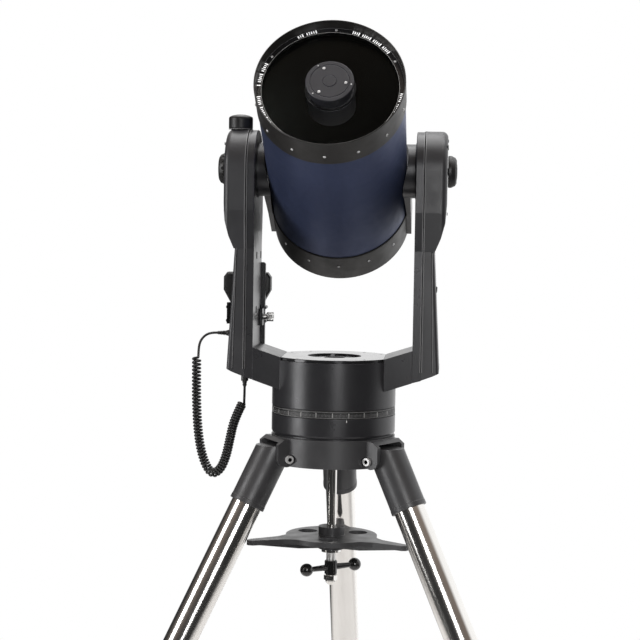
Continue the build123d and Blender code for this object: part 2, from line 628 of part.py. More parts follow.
def make_finder_bracket():
    """Two rings on a foot, each holding the finder by three points."""
    around = degrees(atan2(FINDER_Y, FINDER_X))
    reach = hypot(FINDER_X, FINDER_Y)
    bracket = block((CELL_R - 8, 123), (-13, 13), (-134, -93)) - ring(CELL_R, 0, -200, 0)
    for z in (-100, -126):
        rings = ring(26, 21.5, z - 4, z + 4)
        for step in range(3):
            turn = radians(120 * step)
            start = (19.0 * cos(turn), 19.0 * sin(turn), z)
            end = (30.0 * cos(turn), 30.0 * sin(turn), z)
            rings += bar(start, end, 2.2)
        bracket += Pos(reach, 0, 0) * (rings - ring(19.0, 0, z - 8, z + 8))
    return TUBE * Rot(0, 0, around) * bracket


saddle = make_saddle_plate()
parts["saddle_plates"] = TUBE * group(saddle, mirrored(saddle))
parts["front_cell"] = make_front_cell()
parts["retaining_ring"] = TUBE * ring(RECESS_R, 105, GLASS_FRONT, GLASS_FRONT + 3)
parts["corrector_plate"] = TUBE * ring(112, 28, GLASS_BACK, GLASS_FRONT)
parts["secondary_housing"] = make_secondary()
parts["tube_shell"] = TUBE * ring(SHELL_R, SHELL_R - 1.8, REAR_LIP - 9, CELL_BACK + 12)
parts["rear_cell"] = make_rear_cell()
parts["primary_mirror"] = TUBE * turned([(BAFFLE_R + FIT, MIRROR_BACK), (104.8, MIRROR_BACK), (104.8, -103),
                                         (60, -105.5), (26, -106.5), (26, -88), (BAFFLE_R + FIT, -88)])
parts["baffle_tube"] = TUBE * turned([(17.2, PLATE_BACK), (30, PLATE_BACK), (30, PLATE_BACK + 4),
                                      (BAFFLE_R, PLATE_BACK + 4), (BAFFLE_R, 60), (17.2, 60)])
parts["focus_knob"] = make_focus_knob()
parts["visual_back"] = TUBE * turned([(NOSE_R + FIT, PLATE_BACK), (22, PLATE_BACK), (22, REAR), (28, REAR),
                                      (28, REAR - 26), (26, REAR - 28), (NOSE_R + FIT, REAR - 28)])
parts["star_diagonal"] = make_star_diagonal()
parts["eyepiece"] = make_eyepiece()
parts["finder_scope"] = make_finder()
parts["finder_bracket"] = make_finder_bracket()

# ---------------------------------------------------------------- origin and export
CORD_NODES = ("cord_coil", "cord_tail_upper", "cord_tail_lower", "cord_plugs")
footprint = Compound([solid for node, solid in parts.items() if node not in CORD_NODES]).bounding_box()
CENTRE = footprint.center()
TO_ORIGIN = Pos(-CENTRE.X, -CENTRE.Y, 0)

for node, solid in parts.items():
    export_step(TO_ORIGIN * solid, f"parts/{node}.step")

print("sub-parts", len(parts))
print("azimuth axis at", round(-CENTRE.X, 3), round(-CENTRE.Y, 3))
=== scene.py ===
"""The looks of a Schmidt-Cassegrain telescope on a fork mount and a field tripod.

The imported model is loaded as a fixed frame. This script adds the camera, the curly cord of the hand
controller, a material for every node, the small pieces that the solids leave out, and the studio.
Shapes are drawn in millimetres and scaled to metres when they are placed. The eyepiece, the finder,
the hand controller and the legs have frames of their own, set in one of these three:
  fork   - origin on the azimuth axis at the deck plate's top, +Z up, -Y the way the tube points
  tube   - origin where the altitude axis meets the optical axis, +Z towards the sky, +Y the upper side
  floor  - the row's own frame
"""
import json
from math import cos, hypot, pi, radians, sin

import bmesh
import bpy
from mathutils import Matrix, Vector


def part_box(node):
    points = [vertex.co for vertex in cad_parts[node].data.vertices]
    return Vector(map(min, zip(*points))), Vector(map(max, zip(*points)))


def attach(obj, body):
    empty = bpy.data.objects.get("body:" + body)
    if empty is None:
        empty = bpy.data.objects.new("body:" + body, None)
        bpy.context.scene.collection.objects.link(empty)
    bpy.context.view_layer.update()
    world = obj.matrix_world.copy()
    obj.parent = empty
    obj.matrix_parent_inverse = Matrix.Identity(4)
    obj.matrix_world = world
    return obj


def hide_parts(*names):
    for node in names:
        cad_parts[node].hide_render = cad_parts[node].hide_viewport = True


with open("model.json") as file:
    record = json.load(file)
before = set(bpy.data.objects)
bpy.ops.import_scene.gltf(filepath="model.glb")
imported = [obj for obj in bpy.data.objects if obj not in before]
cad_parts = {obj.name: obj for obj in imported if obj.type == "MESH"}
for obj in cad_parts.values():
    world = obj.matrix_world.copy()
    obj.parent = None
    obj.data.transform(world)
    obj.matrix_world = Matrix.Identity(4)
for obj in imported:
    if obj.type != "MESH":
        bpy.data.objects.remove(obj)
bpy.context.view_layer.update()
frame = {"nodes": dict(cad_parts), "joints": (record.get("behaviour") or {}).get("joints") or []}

MM = 0.001
JOINTS = {joint["name"]: joint for joint in frame["joints"]}
NODES = frame["nodes"]


def joint_point(name):
    """A joint's point in the row frame, in millimetres."""
    return Vector(JOINTS[name]["pos_m"]) / MM


AZIMUTH = joint_point("azimuth_rotation")
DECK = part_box("base_top_plate")[1].z / MM
ALTITUDE_AXIS = joint_point("altitude_rotation")
SKYWARD = Vector(JOINTS["mirror_focus"]["axis"])
SIDEWAYS = Vector((1, 0, 0))
UPPER = SKYWARD.cross(SIDEWAYS)

FLOOR = Matrix.Identity(4)
FORK = Matrix.Translation((AZIMUTH.x, AZIMUTH.y, DECK))
TUBE = Matrix.Translation(ALTITUDE_AXIS) @ Matrix((SIDEWAYS, UPPER, SKYWARD)).transposed().to_4x4()
TO_METRES = Matrix.Scale(MM, 4)
shift = Matrix.Translation


def spin(degrees, axis="Z"):
    """A turn about an axis."""
    return Matrix.Rotation(radians(degrees), 4, axis)


def on_circle(radius, degrees, z):
    """A point at a radius and an angle from +X about Z."""
    turn = radians(degrees)
    return Vector((radius * cos(turn), radius * sin(turn), z))


def linked(name, data):
    """A new object in the scene."""
    piece = bpy.data.objects.new(name, data)
    bpy.context.scene.collection.objects.link(piece)
    return piece


def finished_mesh(name, bm):
    """Turns a drawing into a mesh and closes the drawing."""
    mesh = bpy.data.meshes.new(name)
    bm.to_mesh(mesh)
    bm.free()
    return mesh


# sizes of the solids that details sit on
CELL_R = 115.5            # tube frame: radius of both cells
LIP = 247.3               # front of the tube
REAR = -158.5             # back of the rear cell
GLASS_FRONT = LIP - 22.0
RING_FRONT = GLASS_FRONT + 3.0
SHELL_INNER_R = 113.0
EYEPIECE_Z = REAR - 64.0
EYEPIECE = TUBE @ shift((0, 0, EYEPIECE_Z)) @ spin(-90, "X")
FINDER = (-103.0, 103.0)
FINDER_ANGLE = 135
FOCUS_KNOB = (42.0, -46.0)
FORK_AXIS = ALTITUDE_AXIS.z - DECK            # fork frame: height of the altitude axis
ARM_INNER = 129.5         # arms, from the middle plane
BULB_OUTER = 180.0
KNOB_FACE = 194.6
ARM_HALF = 56.5           # arms, half their depth
CASTING_R = 64.0
BULB_BOTTOM = 175.0
BULB_CREASE = 237.0
ARM_BOTTOM = -20.0
BASE_R = 101.9
CIRCLE_R = 101.4
PIVOT_R = 96.0            # leg pivots, from the azimuth axis and above the floor
PIVOT_Z = 728.0
LUG_OUTER = 39.3
BOLT_SOCKET = (3.7, 4.9)  # radius and depth
HANDBOX_X = -155.8
HANDBOX_BACK = 100.0
HANDBOX = FORK @ shift((HANDBOX_X, HANDBOX_BACK, 0))


# ---- camera
CAMERA_LENS = 94.43
CAMERA_SENSOR = 36.0
CAMERA_AT = Vector((189.0, -2754.6, 234.0))   # in the fork frame
CAMERA_TURN = 4.44                            # degrees from the front towards +X
CAMERA_TILT = -3.64
CAMERA_ROLL = 0.95


def make_camera():
    """The camera at the place and angle above, rolled about its line of sight."""
    turn, tilt, roll = radians(CAMERA_TURN), radians(CAMERA_TILT), radians(CAMERA_ROLL)
    look = Vector((-sin(turn) * cos(tilt), cos(turn) * cos(tilt), sin(tilt)))
    right = look.cross(Vector((0, 0, 1))).normalized()
    up = right.cross(look)
    rolled_right = cos(roll) * right + sin(roll) * up
    rolled_up = cos(roll) * up - sin(roll) * right
    data = bpy.data.cameras.new("camera")
    data.lens = CAMERA_LENS
    data.sensor_width = CAMERA_SENSOR
    data.clip_end = 60.0
    camera = linked("camera", data)
    place = Matrix((rolled_right, rolled_up, -look)).transposed().to_4x4()
    place.translation = (FORK @ CAMERA_AT) * MM
    camera.matrix_world = place
    bpy.context.scene.camera = camera


make_camera()


# ---- node trees
new_material = bpy.data.materials.new


class Tree:
    """A material's or the world's node tree, with short calls for the nodes it needs."""

    def __init__(self, owner, output="OutputMaterial"):
        owner.use_nodes = True
        self.owner = owner
        self.tree = owner.node_tree
        self.tree.nodes.clear()
        self.output = self.add(output)
        self.coordinates = self.add("TexCoord").outputs
        self.place = self.coordinates["Object"]

    def add(self, kind, settings=None, **inputs):
        """Adds a shader node. Inputs are numbers, colours or sockets, with underscores for spaces."""
        node = self.tree.nodes.new("ShaderNode" + kind)
        for key, value in (settings or {}).items():
            setattr(node, key, value)
        for key, value in inputs.items():
            self.feed(node.inputs[key.replace("_", " ")], value)
        return node

    def feed(self, socket, value):
        """Links a socket to an input, or sets the input to a number or colour."""
        if isinstance(value, bpy.types.NodeSocket):
            self.tree.links.new(value, socket)
        else:
            socket.default_value = value

    def noise(self, scale, detail=3.0, stretch=(1, 1, 1)):
        """Noise over the object's own place. Scale is per metre."""
        place = self.place
        if stretch != (1, 1, 1):
            place = self.add("Mapping", Vector=place, Scale=stretch).outputs[0]
        return self.add("TexNoise", Vector=place, Scale=scale, Detail=detail).outputs[0]

    def span(self, value, low, high, start=0.3, end=0.7, curve="LINEAR"):
        """Maps a value between start and end to low and high."""
        return self.add("MapRange", {"interpolation_type": curve}, Value=value, From_Min=start,
                        From_Max=end, To_Min=low, To_Max=high).outputs[0]

    def dot(self, first, second):
        node = self.add("VectorMath", {"operation": "DOT_PRODUCT"})
        self.feed(node.inputs[0], first)
        self.feed(node.inputs[1], second)
        return node.outputs["Value"]

    def mix(self, share, first, second):
        """Mixes two colours."""
        node = self.add("Mix", {"data_type": "RGBA"})
        for index, value in ((0, share), (6, first), (7, second)):
            self.feed(node.inputs[index], value)
        return node.outputs[2]

    def blend(self, share, first, second):
        """Mixes two shaders."""
        node = self.add("MixShader")
        for socket, value in zip(node.inputs, (share, first, second)):
            self.feed(socket, value)
        return node.outputs[0]

    def bump(self, height, strength, distance, normal=None):
        node = self.add("Bump", Height=height, Strength=strength, Distance=distance)
        if normal is not None:
            self.feed(node.inputs["Normal"], normal)
        return node.outputs[0]

    def finished(self, shader):
        """Joins the last shader to the output and returns the material or world."""
        self.feed(self.output.inputs["Surface"], shader)
        return self.owner


def shade(colour, factor):
    """A colour made lighter or darker, with full alpha."""
    return tuple(min(1.0, channel * factor) for channel in colour[:3]) + (1.0,)


CLOUD_SCALE = 14.0
GRAIN_DEPTH = 0.0001      # metres
EDGE_RADIUS = 0.0008


def surface(name, colour, roughness, metallic=0.0, specular=0.5, coat=0.0, coat_roughness=0.1, cloud=0.10,
            grain=0.0, grain_scale=900.0, spread=0.06, edge=0.0, stretch=(1, 1, 1), dust=0.0):
    """A painted, moulded or plated surface.

    cloud varies the colour slowly, grain is a fine bump, spread varies the roughness, edge lightens
    corners as wear and as a painted highlight, stretch draws the grain out along an axis, and dust lightens
    what faces up.
    """
    t = Tree(new_material(name))
    corner = t.add("Bevel", {"samples": 4}, Radius=EDGE_RADIUS).outputs[0]
    facing = t.add("NewGeometry").outputs["Normal"]
    cloudy = t.span(t.noise(CLOUD_SCALE), 0.0, 1.0)
    base = t.mix(cloudy, shade(colour, 1 - cloud), shade(colour, 1 + cloud))
    if edge > 0:
        # corners painted lighter: partly wear, partly a painted highlight
        edge_wear_and_highlight = t.span(t.dot(corner, facing), edge, 0.0, 0.90, 0.995)
        base = t.mix(edge_wear_and_highlight, base, shade(colour, 4.0))
    if dust > 0:
        up = t.add("SeparateXYZ", Vector=facing).outputs[2]
        base = t.mix(t.span(up, 0.0, dust, 0.5, 1.0), base, (0.5, 0.5, 0.5, 1.0))
    fine = t.noise(grain_scale, 2.0, stretch)
    rough = t.span(t.noise(CLOUD_SCALE * 3, 4.0, stretch), roughness - spread, roughness + spread)
    normal = t.bump(fine, grain, GRAIN_DEPTH, corner) if grain > 0 else corner
    shader = t.add("BsdfPrincipled", Base_Color=base, Roughness=rough, Metallic=metallic,
                   Specular_IOR_Level=specular, Coat_Weight=coat, Coat_Roughness=coat_roughness,
                   Normal=normal)
    return t.finished(shader.outputs[0])


def tube_paint():
    """Deep blue metallic lacquer with fine flakes under a satin coat."""
    t = Tree(new_material("tube_paint"))
    cloudy = t.span(t.noise(9.0), 0.0, 1.0)
    base = t.mix(cloudy, (0.050, 0.066, 0.138, 1), (0.060, 0.079, 0.160, 1))
    flake = t.add("TexVoronoi", Vector=t.place, Scale=2600.0)
    glint = t.span(flake.outputs["Distance"], 0.22, 0.0, 0.0, 0.35)
    base = t.mix(glint, base, (0.09, 0.115, 0.22, 1))
    rough = t.span(t.noise(60.0), 0.46, 0.54)
    shader = t.add("BsdfPrincipled", Base_Color=base, Roughness=rough, Metallic=0.7,
                   Coat_Weight=0.06, Coat_Roughness=0.25, Normal=t.bump(t.noise(700.0), 0.05, GRAIN_DEPTH))
    return t.finished(shader.outputs[0])


def glass(name, tint, strength, roughness, clearness):
    """Coated glass: clear, with a tinted reflection that grows towards grazing angles."""
    t = Tree(new_material(name))
    clear = t.add("BsdfTransparent", Color=shade((1.0, 1.0, 1.0), clearness)).outputs[0]
    smear = t.span(t.noise(6.0), roughness, roughness * 2)
    shine = t.add("BsdfPrincipled", Base_Color=tint, Roughness=smear, Metallic=1.0).outputs[0]
    share = t.span(t.add("Fresnel", IOR=1.45).outputs[0], strength, 0.8, 0.05, 1.0)
    return t.finished(t.blend(share, clear, shine))


def glowing(name, colour, glow, strength):
    """A print that glows as painted light, to stay bright in the shade, or a display that lights itself."""
    t = Tree(new_material(name))
    cloudy = t.mix(t.span(t.noise(30.0), 0.0, 1.0), shade(colour, 0.94), shade(colour, 1.04))
    shader = t.add("BsdfPrincipled", Base_Color=cloudy, Roughness=0.4, Emission_Color=glow,
                   Emission_Strength=strength)
    return t.finished(shader.outputs[0])


# ---- materials
CHARCOAL = (0.030, 0.030, 0.033)
BLACK = (0.009, 0.009, 0.0095)

fork_paint = surface("fork_paint", CHARCOAL, 0.30, metallic=0.2, grain=0.22, grain_scale=1300, edge=0.5,
                     cloud=0.05, spread=0.03)
cover_paint = surface("cover_paint", CHARCOAL, 0.40, grain=0.18, grain_scale=1500, edge=0.35)
deck_paint = surface("deck_paint", (0.03, 0.03, 0.032), 0.13, metallic=0.4, spread=0.03, grain=0.12, edge=0.5)
cell_paint = surface("cell_paint", (0.020, 0.0185, 0.0175), 0.44, metallic=0.1, grain=0.15, edge=0.3)
blue_paint = tube_paint()
moulded = surface("moulded_black", BLACK, 0.45, grain=0.25, grain_scale=1100, edge=0.25)
bakelite = surface("ball_black", (0.010, 0.010, 0.010), 0.18, coat=0.4, spread=0.03)
gloss_ring = surface("ring_gloss", (0.010, 0.010, 0.011), 0.20, coat=0.5, coat_roughness=0.06, spread=0.04)
housing_grey = surface("housing_grey", (0.027, 0.027, 0.033), 0.40, grain=0.1, edge=0.4)
cast_black = surface("cast_black", (0.056, 0.056, 0.059), 0.38, metallic=0.15, grain=0.3, grain_scale=800,
                     edge=0.5)
metal_black = surface("anodised_black", (0.012, 0.012, 0.013), 0.33, metallic=0.6, grain=0.05, edge=0.5)
flat_black = surface("flat_black", (0.0035, 0.0035, 0.0035), 0.62, specular=0.3)
rubber = surface("rubber", (0.018, 0.018, 0.018), 0.75, specular=0.25, grain=0.3, dust=0.02)
cord_jacket = surface("cord_jacket", (0.012, 0.012, 0.012), 0.36, cloud=0.2, grain=0.05)
chrome = surface("chrome", (0.80, 0.785, 0.76), 0.15, metallic=1.0, cloud=0.02, spread=0.025,
                 grain=0.03, grain_scale=90, stretch=(1, 1, 0.05))
bright_steel = surface("bright_steel", (0.66, 0.66, 0.65), 0.34, metallic=1.0, grain=0.1, spread=0.08)
zinc = surface("zinc_plate", (0.72, 0.72, 0.72), 0.40, metallic=0.35, grain=0.1)
brass = surface("brass", (0.62, 0.45, 0.20), 0.30, metallic=1.0, grain=0.1)
mirror_silver = surface("mirror_silver", (0.52, 0.53, 0.54), 0.04, metallic=1.0, cloud=0.01, spread=0.01)
key_rubber = surface("key_rubber", (0.16, 0.16, 0.17), 0.6, specular=0.3, grain=0.2)
white_ink = surface("white_ink", (0.86, 0.86, 0.84), 0.5, cloud=0.04)
# a light grey that paints highlights beside seams and along the retaining ring's outer edge
bead_painted_highlight = surface("bead_painted_highlight", (0.15, 0.15, 0.155), 0.35)
# a much lighter copy of the housing's grey: painted light for its part behind the glass
housing_painted_light = surface("housing_painted_light", (0.30, 0.30, 0.32), 0.40)
# print of the hour marks; the same grey paints a highlight along the retaining ring's inner edge
hour_ink_and_edge_highlight = surface("hour_ink_and_edge_highlight", (0.50, 0.50, 0.49), 0.5, cloud=0.05)
# the graduation's print glows: painted light that keeps it bright in the shade
ring_ink_painted_glow = glowing("ring_ink_painted_glow", (0.90, 0.90, 0.90), (1, 1, 1, 1), 0.70)
readout = glowing("readout", (0.5, 0.05, 0.02), (1.0, 0.12, 0.04, 1), 0.9)
# fine marks and knob rings; the same grey paints a highlight along the receiver's joint line
grey_ink_and_highlight = surface("grey_ink_and_highlight", (0.30, 0.30, 0.30), 0.5, cloud=0.05)
seam_shadow = surface("seam_shadow", (0.006, 0.006, 0.006), 0.9, specular=0.0)
corrector = glass("corrector_glass", (0.74, 0.79, 0.76, 1), 0.004, 0.13, 0.68)
lens = glass("lens_glass", (0.45, 0.35, 0.75, 1), 0.12, 0.01, 0.95)
display = surface("display_glass", (0.035, 0.010, 0.008), 0.08, coat=0.6, coat_roughness=0.03)

NODE_LOOKS = {
    fork_paint: "drive_base fork_base left_arm_casting right_arm_casting saddle_plates",
    cover_paint: "left_arm_cover right_arm_cover", deck_paint: "base_top_plate",
    cell_paint: "front_cell rear_cell", blue_paint: "tube_shell", gloss_ring: "retaining_ring",
    moulded: "azimuth_setting_circle azimuth_lock_lever altitude_lock_knob slow_motion_knob gps_receiver"
             " handbox_shell focus_knob",
    metal_black: "handbox_bracket visual_back star_diagonal eyepiece finder_scope finder_bracket",
    cast_black: "tripod_head spreader_plate", bakelite: "tension_handle", zinc: "leg_pivot_bolts",
    chrome: "threaded_rod", bright_steel: "azimuth_worm bracket_thumbscrew", brass: "azimuth_worm_wheel",
    key_rubber: "handbox_keys", cord_jacket: "cord_plugs", corrector: "corrector_plate",
    housing_grey: "secondary_housing", mirror_silver: "primary_mirror", flat_black: "baffle_tube",
}
LEG_LOOKS = {cast_black: "socket", chrome: "tube extension", moulded: "collar lock_knob", rubber: "foot"}


def dress(nodes, look):
    """Gives nodes a look of their own in place of the pack's."""
    for node in nodes:
        NODES[node].data.materials.clear()
        NODES[node].data.materials.append(look)


for look, nodes in NODE_LOOKS.items():
    dress(nodes.split(), look)
for number in (1, 2, 3):
    for look, pieces in LEG_LOOKS.items():
        dress([f"leg_{number}_{piece}" for piece in pieces.split()], look)

FAR = 1e6                 # beyond any point of the object


def paint_faces(node, look, chosen):
    """Gives the faces whose centre passes the test a second material. Centres are in millimetres."""
    mesh = NODES[node].data
    mesh.materials.append(look)
    for polygon in mesh.polygons:
        if chosen(polygon.center / MM):
            polygon.material_index = len(mesh.materials) - 1


def within(home, radius=FAR, low=-FAR, high=FAR):
    """A test for points nearer the axis of a frame than a radius, and between two heights along it."""
    back = home.inverted()

    def inside(point):
        local = back @ point
        return hypot(local.x, local.y) < radius and low < local.z < high

    return inside


# ---- mesh helpers
SHARP_FROM = radians(32)
STEPS_PER_RIDGE = 4
ROUNDING_STEPS = 3


def lathe(bm, outline, at, steps, closed, radius_at):
    """Turns an outline about Z, with the radius that radius_at gives for a point and a step.

    Points start with a radius and a height. A radius of 0 is one shared point on the axis. A closed
    outline joins its last point to its first.
    """
    poles = {i: bm.verts.new(at @ Vector((0, 0, spot[1]))) for i, spot in enumerate(outline) if spot[0] == 0}
    columns = []
    for step in range(steps):
        column = []
        for i, spot in enumerate(outline):
            if i in poles:
                column.append(poles[i])
                continue
            edge = on_circle(radius_at(spot, step), 360 * step / steps, spot[1])
            column.append(bm.verts.new(at @ edge))
        columns.append(column)
    runs = len(outline) if closed else len(outline) - 1
    for column, following in zip(columns, columns[1:] + columns[:1]):
        for i in range(runs):
            j = (i + 1) % len(outline)
            corners = dict.fromkeys([column[i], following[i], following[j], column[j]])
            if len(corners) > 2:
                bm.faces.new(list(corners))


def turned(bm, outline, at=FLOOR, steps=48, closed=False):
    """Turns an outline of (radius, height) points about Z."""
    lathe(bm, outline, at, steps, closed, lambda spot, step: spot[0])


def grip(bm, outline, ridges, depth, at=FLOOR):
    """Turns (radius, height, ridged) points. Where ridged is 1 the radius waves, as a knurl's does."""
    def radius_at(spot, step):
        wave = 0.5 - 0.5 * cos(2 * pi * step / STEPS_PER_RIDGE)
        return spot[0] - depth * wave * spot[2]

    lathe(bm, outline, at, ridges * STEPS_PER_RIDGE, False, radius_at)


def ring_section(inner, outer, low, high):
    """The closed outline of a plain ring between two radii and two heights."""
    return [(inner, low), (outer, low), (outer, high), (inner, high)]


def thumbscrew_outline(stem_r, seat, head_r, end):
    """The outline of a knurled head on a stem, for grip."""
    chamfer = 0.4
    return [(stem_r, 0, 0), (stem_r, seat, 0), (head_r - chamfer, seat, 0), (head_r, seat + chamfer, 1),
            (head_r, end - chamfer, 1), (head_r - chamfer, end, 0), (0, end, 0)]


def prism(bm, outline, low, high, at=FLOOR):
    """An outline of (x, y) points between two heights."""
    bottom = [bm.verts.new(at @ Vector((x, y, low))) for x, y in outline]
    top = [bm.verts.new(at @ Vector((x, y, high))) for x, y in outline]
    bm.faces.new(bottom[::-1])
    bm.faces.new(top)
    for i in range(len(outline)):
        j = (i + 1) % len(outline)
        bm.faces.new([bottom[i], bottom[j], top[j], top[i]])


def slab(bm, x, y, z, rounding=0.0, at=FLOOR):
    """A box between pairs of limits, with rounded edges."""
    part = bmesh.new()
    bmesh.ops.create_cube(part, size=1.0)
    for vertex in part.verts:
        limits = (x, y, z)
        for axis in range(3):
            low, high = limits[axis]
            vertex.co[axis] = low + (vertex.co[axis] + 0.5) * (high - low)
    if rounding > 0:
        bmesh.ops.bevel(part, geom=part.edges[:], offset=rounding, segments=ROUNDING_STEPS, profile=0.5,
                        affect="EDGES")
    part.transform(at)
    mesh = finished_mesh("slab", part)
    bm.from_mesh(mesh)
    bpy.data.meshes.remove(mesh)


def place(name, bm, home, body, look, slot, replaced=()):
    """Makes a piece from a drawing in one of the frames, in millimetres. It rides on a body."""
    bmesh.ops.recalc_face_normals(bm, faces=bm.faces)
    bm.transform(TO_METRES @ home)
    mesh = finished_mesh(name, bm)
    mesh.materials.append(look)
    mesh.polygons.foreach_set("use_smooth", [True] * len(mesh.polygons))
    mesh.set_sharp_from_angle(angle=SHARP_FROM)
    piece = linked(name, mesh)
    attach(piece, body)
    if replaced:
        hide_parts(*replaced)
    return piece


def turned_piece(name, outline, home, body, look, slot, at=FLOOR, steps=48, closed=False,
                 replaced=()):
    """Makes a piece from one turned outline."""
    bm = bmesh.new()
    turned(bm, outline, at, steps, closed)
    return place(name, bm, home, body, look, slot, replaced)


def aim(at, towards, roll=0.0):
    """A place at a point with +Z along a direction, rolled about it by some degrees."""
    turn = Vector(towards).to_track_quat("Z", "Y").to_matrix().to_4x4()
    return shift(at) @ turn @ spin(roll)


def socket_screw(bm, at, radius, height, steps=20):
    """A button head with a hexagon socket, its seat at the place's origin."""
    dip = 0.55 * radius
    turned(bm, [(radius, 0), (radius, 0.25 * height), (0.86 * radius, 0.75 * height), (0.62 * radius, height),
                (dip, height)], at, steps)
    floor, rim = ([bm.verts.new(at @ on_circle(dip, 60 * k, z)) for k in range(6)]
                  for z in (0.15 * height, height))
    bm.faces.new(floor)
    for k in range(6):
        bm.faces.new([floor[k], floor[k - 1], rim[k - 1], rim[k]])


def cross_screw(bm, at, radius, height, steps=20):
    """A pan head, its seat at the place's origin."""
    turned(bm, [(radius, 0), (radius, 0.4 * height), (0.8 * radius, 0.85 * height), (0.45 * radius, height),
                (0, height)], at, steps)


def cross_slots(bm, at, radius, height):
    """The dark cross of a pan head screw."""
    arm, half = 0.55 * radius, 0.12 * radius
    for degrees in (0, 90):
        slab(bm, (-arm, arm), (-half, half), (height - 0.1, height + 0.06), 0, at @ spin(degrees))


# ---- the curly cord
CORD_R = 2.1
HELIX_R = 6.1             # from the coil's middle to the middle of the wire
COIL = [(-236.5, 48, -12), (-235.5, 42, -46), (-234, 36, -84), (-231, 29, -122), (-225.5, 22, -158),
        (-216, 17, -188), (-203, 12, -205), (-188, 7, -196), (-178, 3, -172), (-172, -1, -144),
        (-164, -6, -108), (-150, -12, -81)]
EXIT_TIP = (-207.5, 84, 27.5)
PORT_TIP = (-146, -20, -52)
UPPER_TAIL = [EXIT_TIP, (-218, 84, 27.5), (-229, 78, 22), (-235.5, 66, 10)]
LOWER_TAIL = [(-146, -20, -62), PORT_TIP]
TURN_LENGTH = (6.4, 5.5, 4.9, 4.6)    # pitch of the coil's turns, from its upper to its lower end
STEPS_PER_TURN = 14


def nurbs(name, points):
    """A curve object with one open NURBS spline whose control points are in fork millimetres."""
    curve = bpy.data.curves.new(name, "CURVE")
    curve.dimensions = "3D"
    spline = curve.splines.new("NURBS")
    spline.points.add(len(points) - 1)
    for spot, point in zip(spline.points, points):
        spot.co = (*(TO_METRES @ FORK @ Vector(point)), 1.0)
    spline.order_u = 3
    spline.use_endpoint_u = True
    spline.resolution_u = 4
    curve.resolution_u = 4
    return linked(name, curve)


def spline_points(points):
    """Points read from the smooth line that the control points make, in fork millimetres."""
    route = nurbs("route", points)
    route.data.splines[0].resolution_u = 24
    mesh = bpy.data.meshes.new_from_object(route)
    to_fork = (TO_METRES @ FORK).inverted()
    line = [to_fork @ vertex.co for vertex in mesh.vertices]
    bpy.data.objects.remove(route)
    bpy.data.meshes.remove(mesh)
    return line


def blend_of(values, share):
    """A value between the entries of a list, at a share of its length."""
    at = share * (len(values) - 1)
    low = min(int(at), len(values) - 2)
    return values[low] + (at - low) * (values[low + 1] - values[low])


def helix_points(line):
    """The turns of a curly cord about a line. The wire comes in from the middle at both ends."""
    runs = [(b - a).length for a, b in zip(line, line[1:])]
    total = sum(runs)
    side = Vector((1, 0, 0))
    turn, travelled, points = 0.0, 0.0, []
    step = 0.05
    index, done = 0, 0.0
    next_turn = 0.0
    while travelled < total:
        while index < len(runs) - 1 and travelled > done + runs[index]:
            done += runs[index]
            index += 1
        along = (line[index + 1] - line[index]).normalized()
        side = (side - side.dot(along) * along).normalized()
        turn += step / blend_of(TURN_LENGTH, travelled / total) * 2 * pi
        if turn >= next_turn:
            other = along.cross(side)
            middle = line[index] + along * (travelled - done)
            near_end = min(travelled, total - travelled)
            reach = HELIX_R * min(1.0, (near_end + 0.6) / 3.0) ** 0.5
            points.append(middle + reach * (cos(turn) * side + sin(turn) * other))
            next_turn += 2 * pi / STEPS_PER_TURN
        travelled += step
    return points


def make_cord():
    """The hand controller's cord: a straight tail, the coil, and the tail up to the arm's port."""
    turns = helix_points(spline_points(COIL))
    cord = nurbs("curly_cord", UPPER_TAIL + turns + LOWER_TAIL)
    cord.data.bevel_depth = CORD_R * MM
    cord.data.bevel_resolution = 4
    cord.data.use_fill_caps = True
    cord.data.materials.append(cord_jacket)
    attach(cord, "fork")
    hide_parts("cord_coil", "cord_tail_upper", "cord_tail_lower")
    return cord


def make_cord_ends():
    """The ribbed strain relief at the hand controller and the boot under the arm."""
    outline = [(0, 0), (5.2, 0), (5.2, 7), (4.6, 8)]
    for rib in range(6):
        z = 9 + 2.6 * rib
        crest, root = 4.3 - 0.25 * rib, 3.2 - 0.15 * rib
        outline += [(crest, z), (crest, z + 1.4), (root, z + 1.6), (root, z + 2.5)]
    outline += [(2.3, 25.5), (0, 25.5)]
    relief = turned_piece("cord_strain_relief", outline, FORK, "fork", cord_jacket, "cord_jacket",
                          aim((HANDBOX_X - 26, 84, 27.5), (-1, 0, 0)), 24, replaced=["cord_plugs"])
    outline = [(0, 0), (6.0, 0), (6.0, 9), (5.2, 10), (4.0, 10.2), (3.8, 13), (3.2, 13.4), (3.2, 14.6),
               (3.6, 15), (3.4, 17), (2.4, 19), (0, 19)]
    boot = turned_piece("cord_port_boot", outline, FORK, "fork", cord_jacket, "cord_jacket",
                        aim((-146, -20, -33.5), (0, 0, -1)), 24)
    return [relief, boot]


cord = make_cord()
make_cord_ends()


# ---- optical tube
RING_SCREWS = 14
FRONT_SCREWS_Z = 214.6
REAR_SCREWS_Z = -116.0
RING_MARKS_R = 109.6
RING_MARK_GROUPS = (      # the middle's angle, how many bars, and the angle between two
    (113, 9, 1.9), (57, 22, 1.7), (-12, 12, 1.8), (168, 13, 1.8), (207, 20, 1.8))
# painted highlights along the retaining ring's inner and outer edges
RING_EDGE_HIGHLIGHTS = (("inner", 105.0, hour_ink_and_edge_highlight), ("outer", 113.0, bead_painted_highlight))
RING_EDGE_WIDE = 0.6
COLLIMATION_R = 25
PINS_R = 33.6
REAR_CELL_SCREWS_R = 75
FINDER_FOOT_R = 123


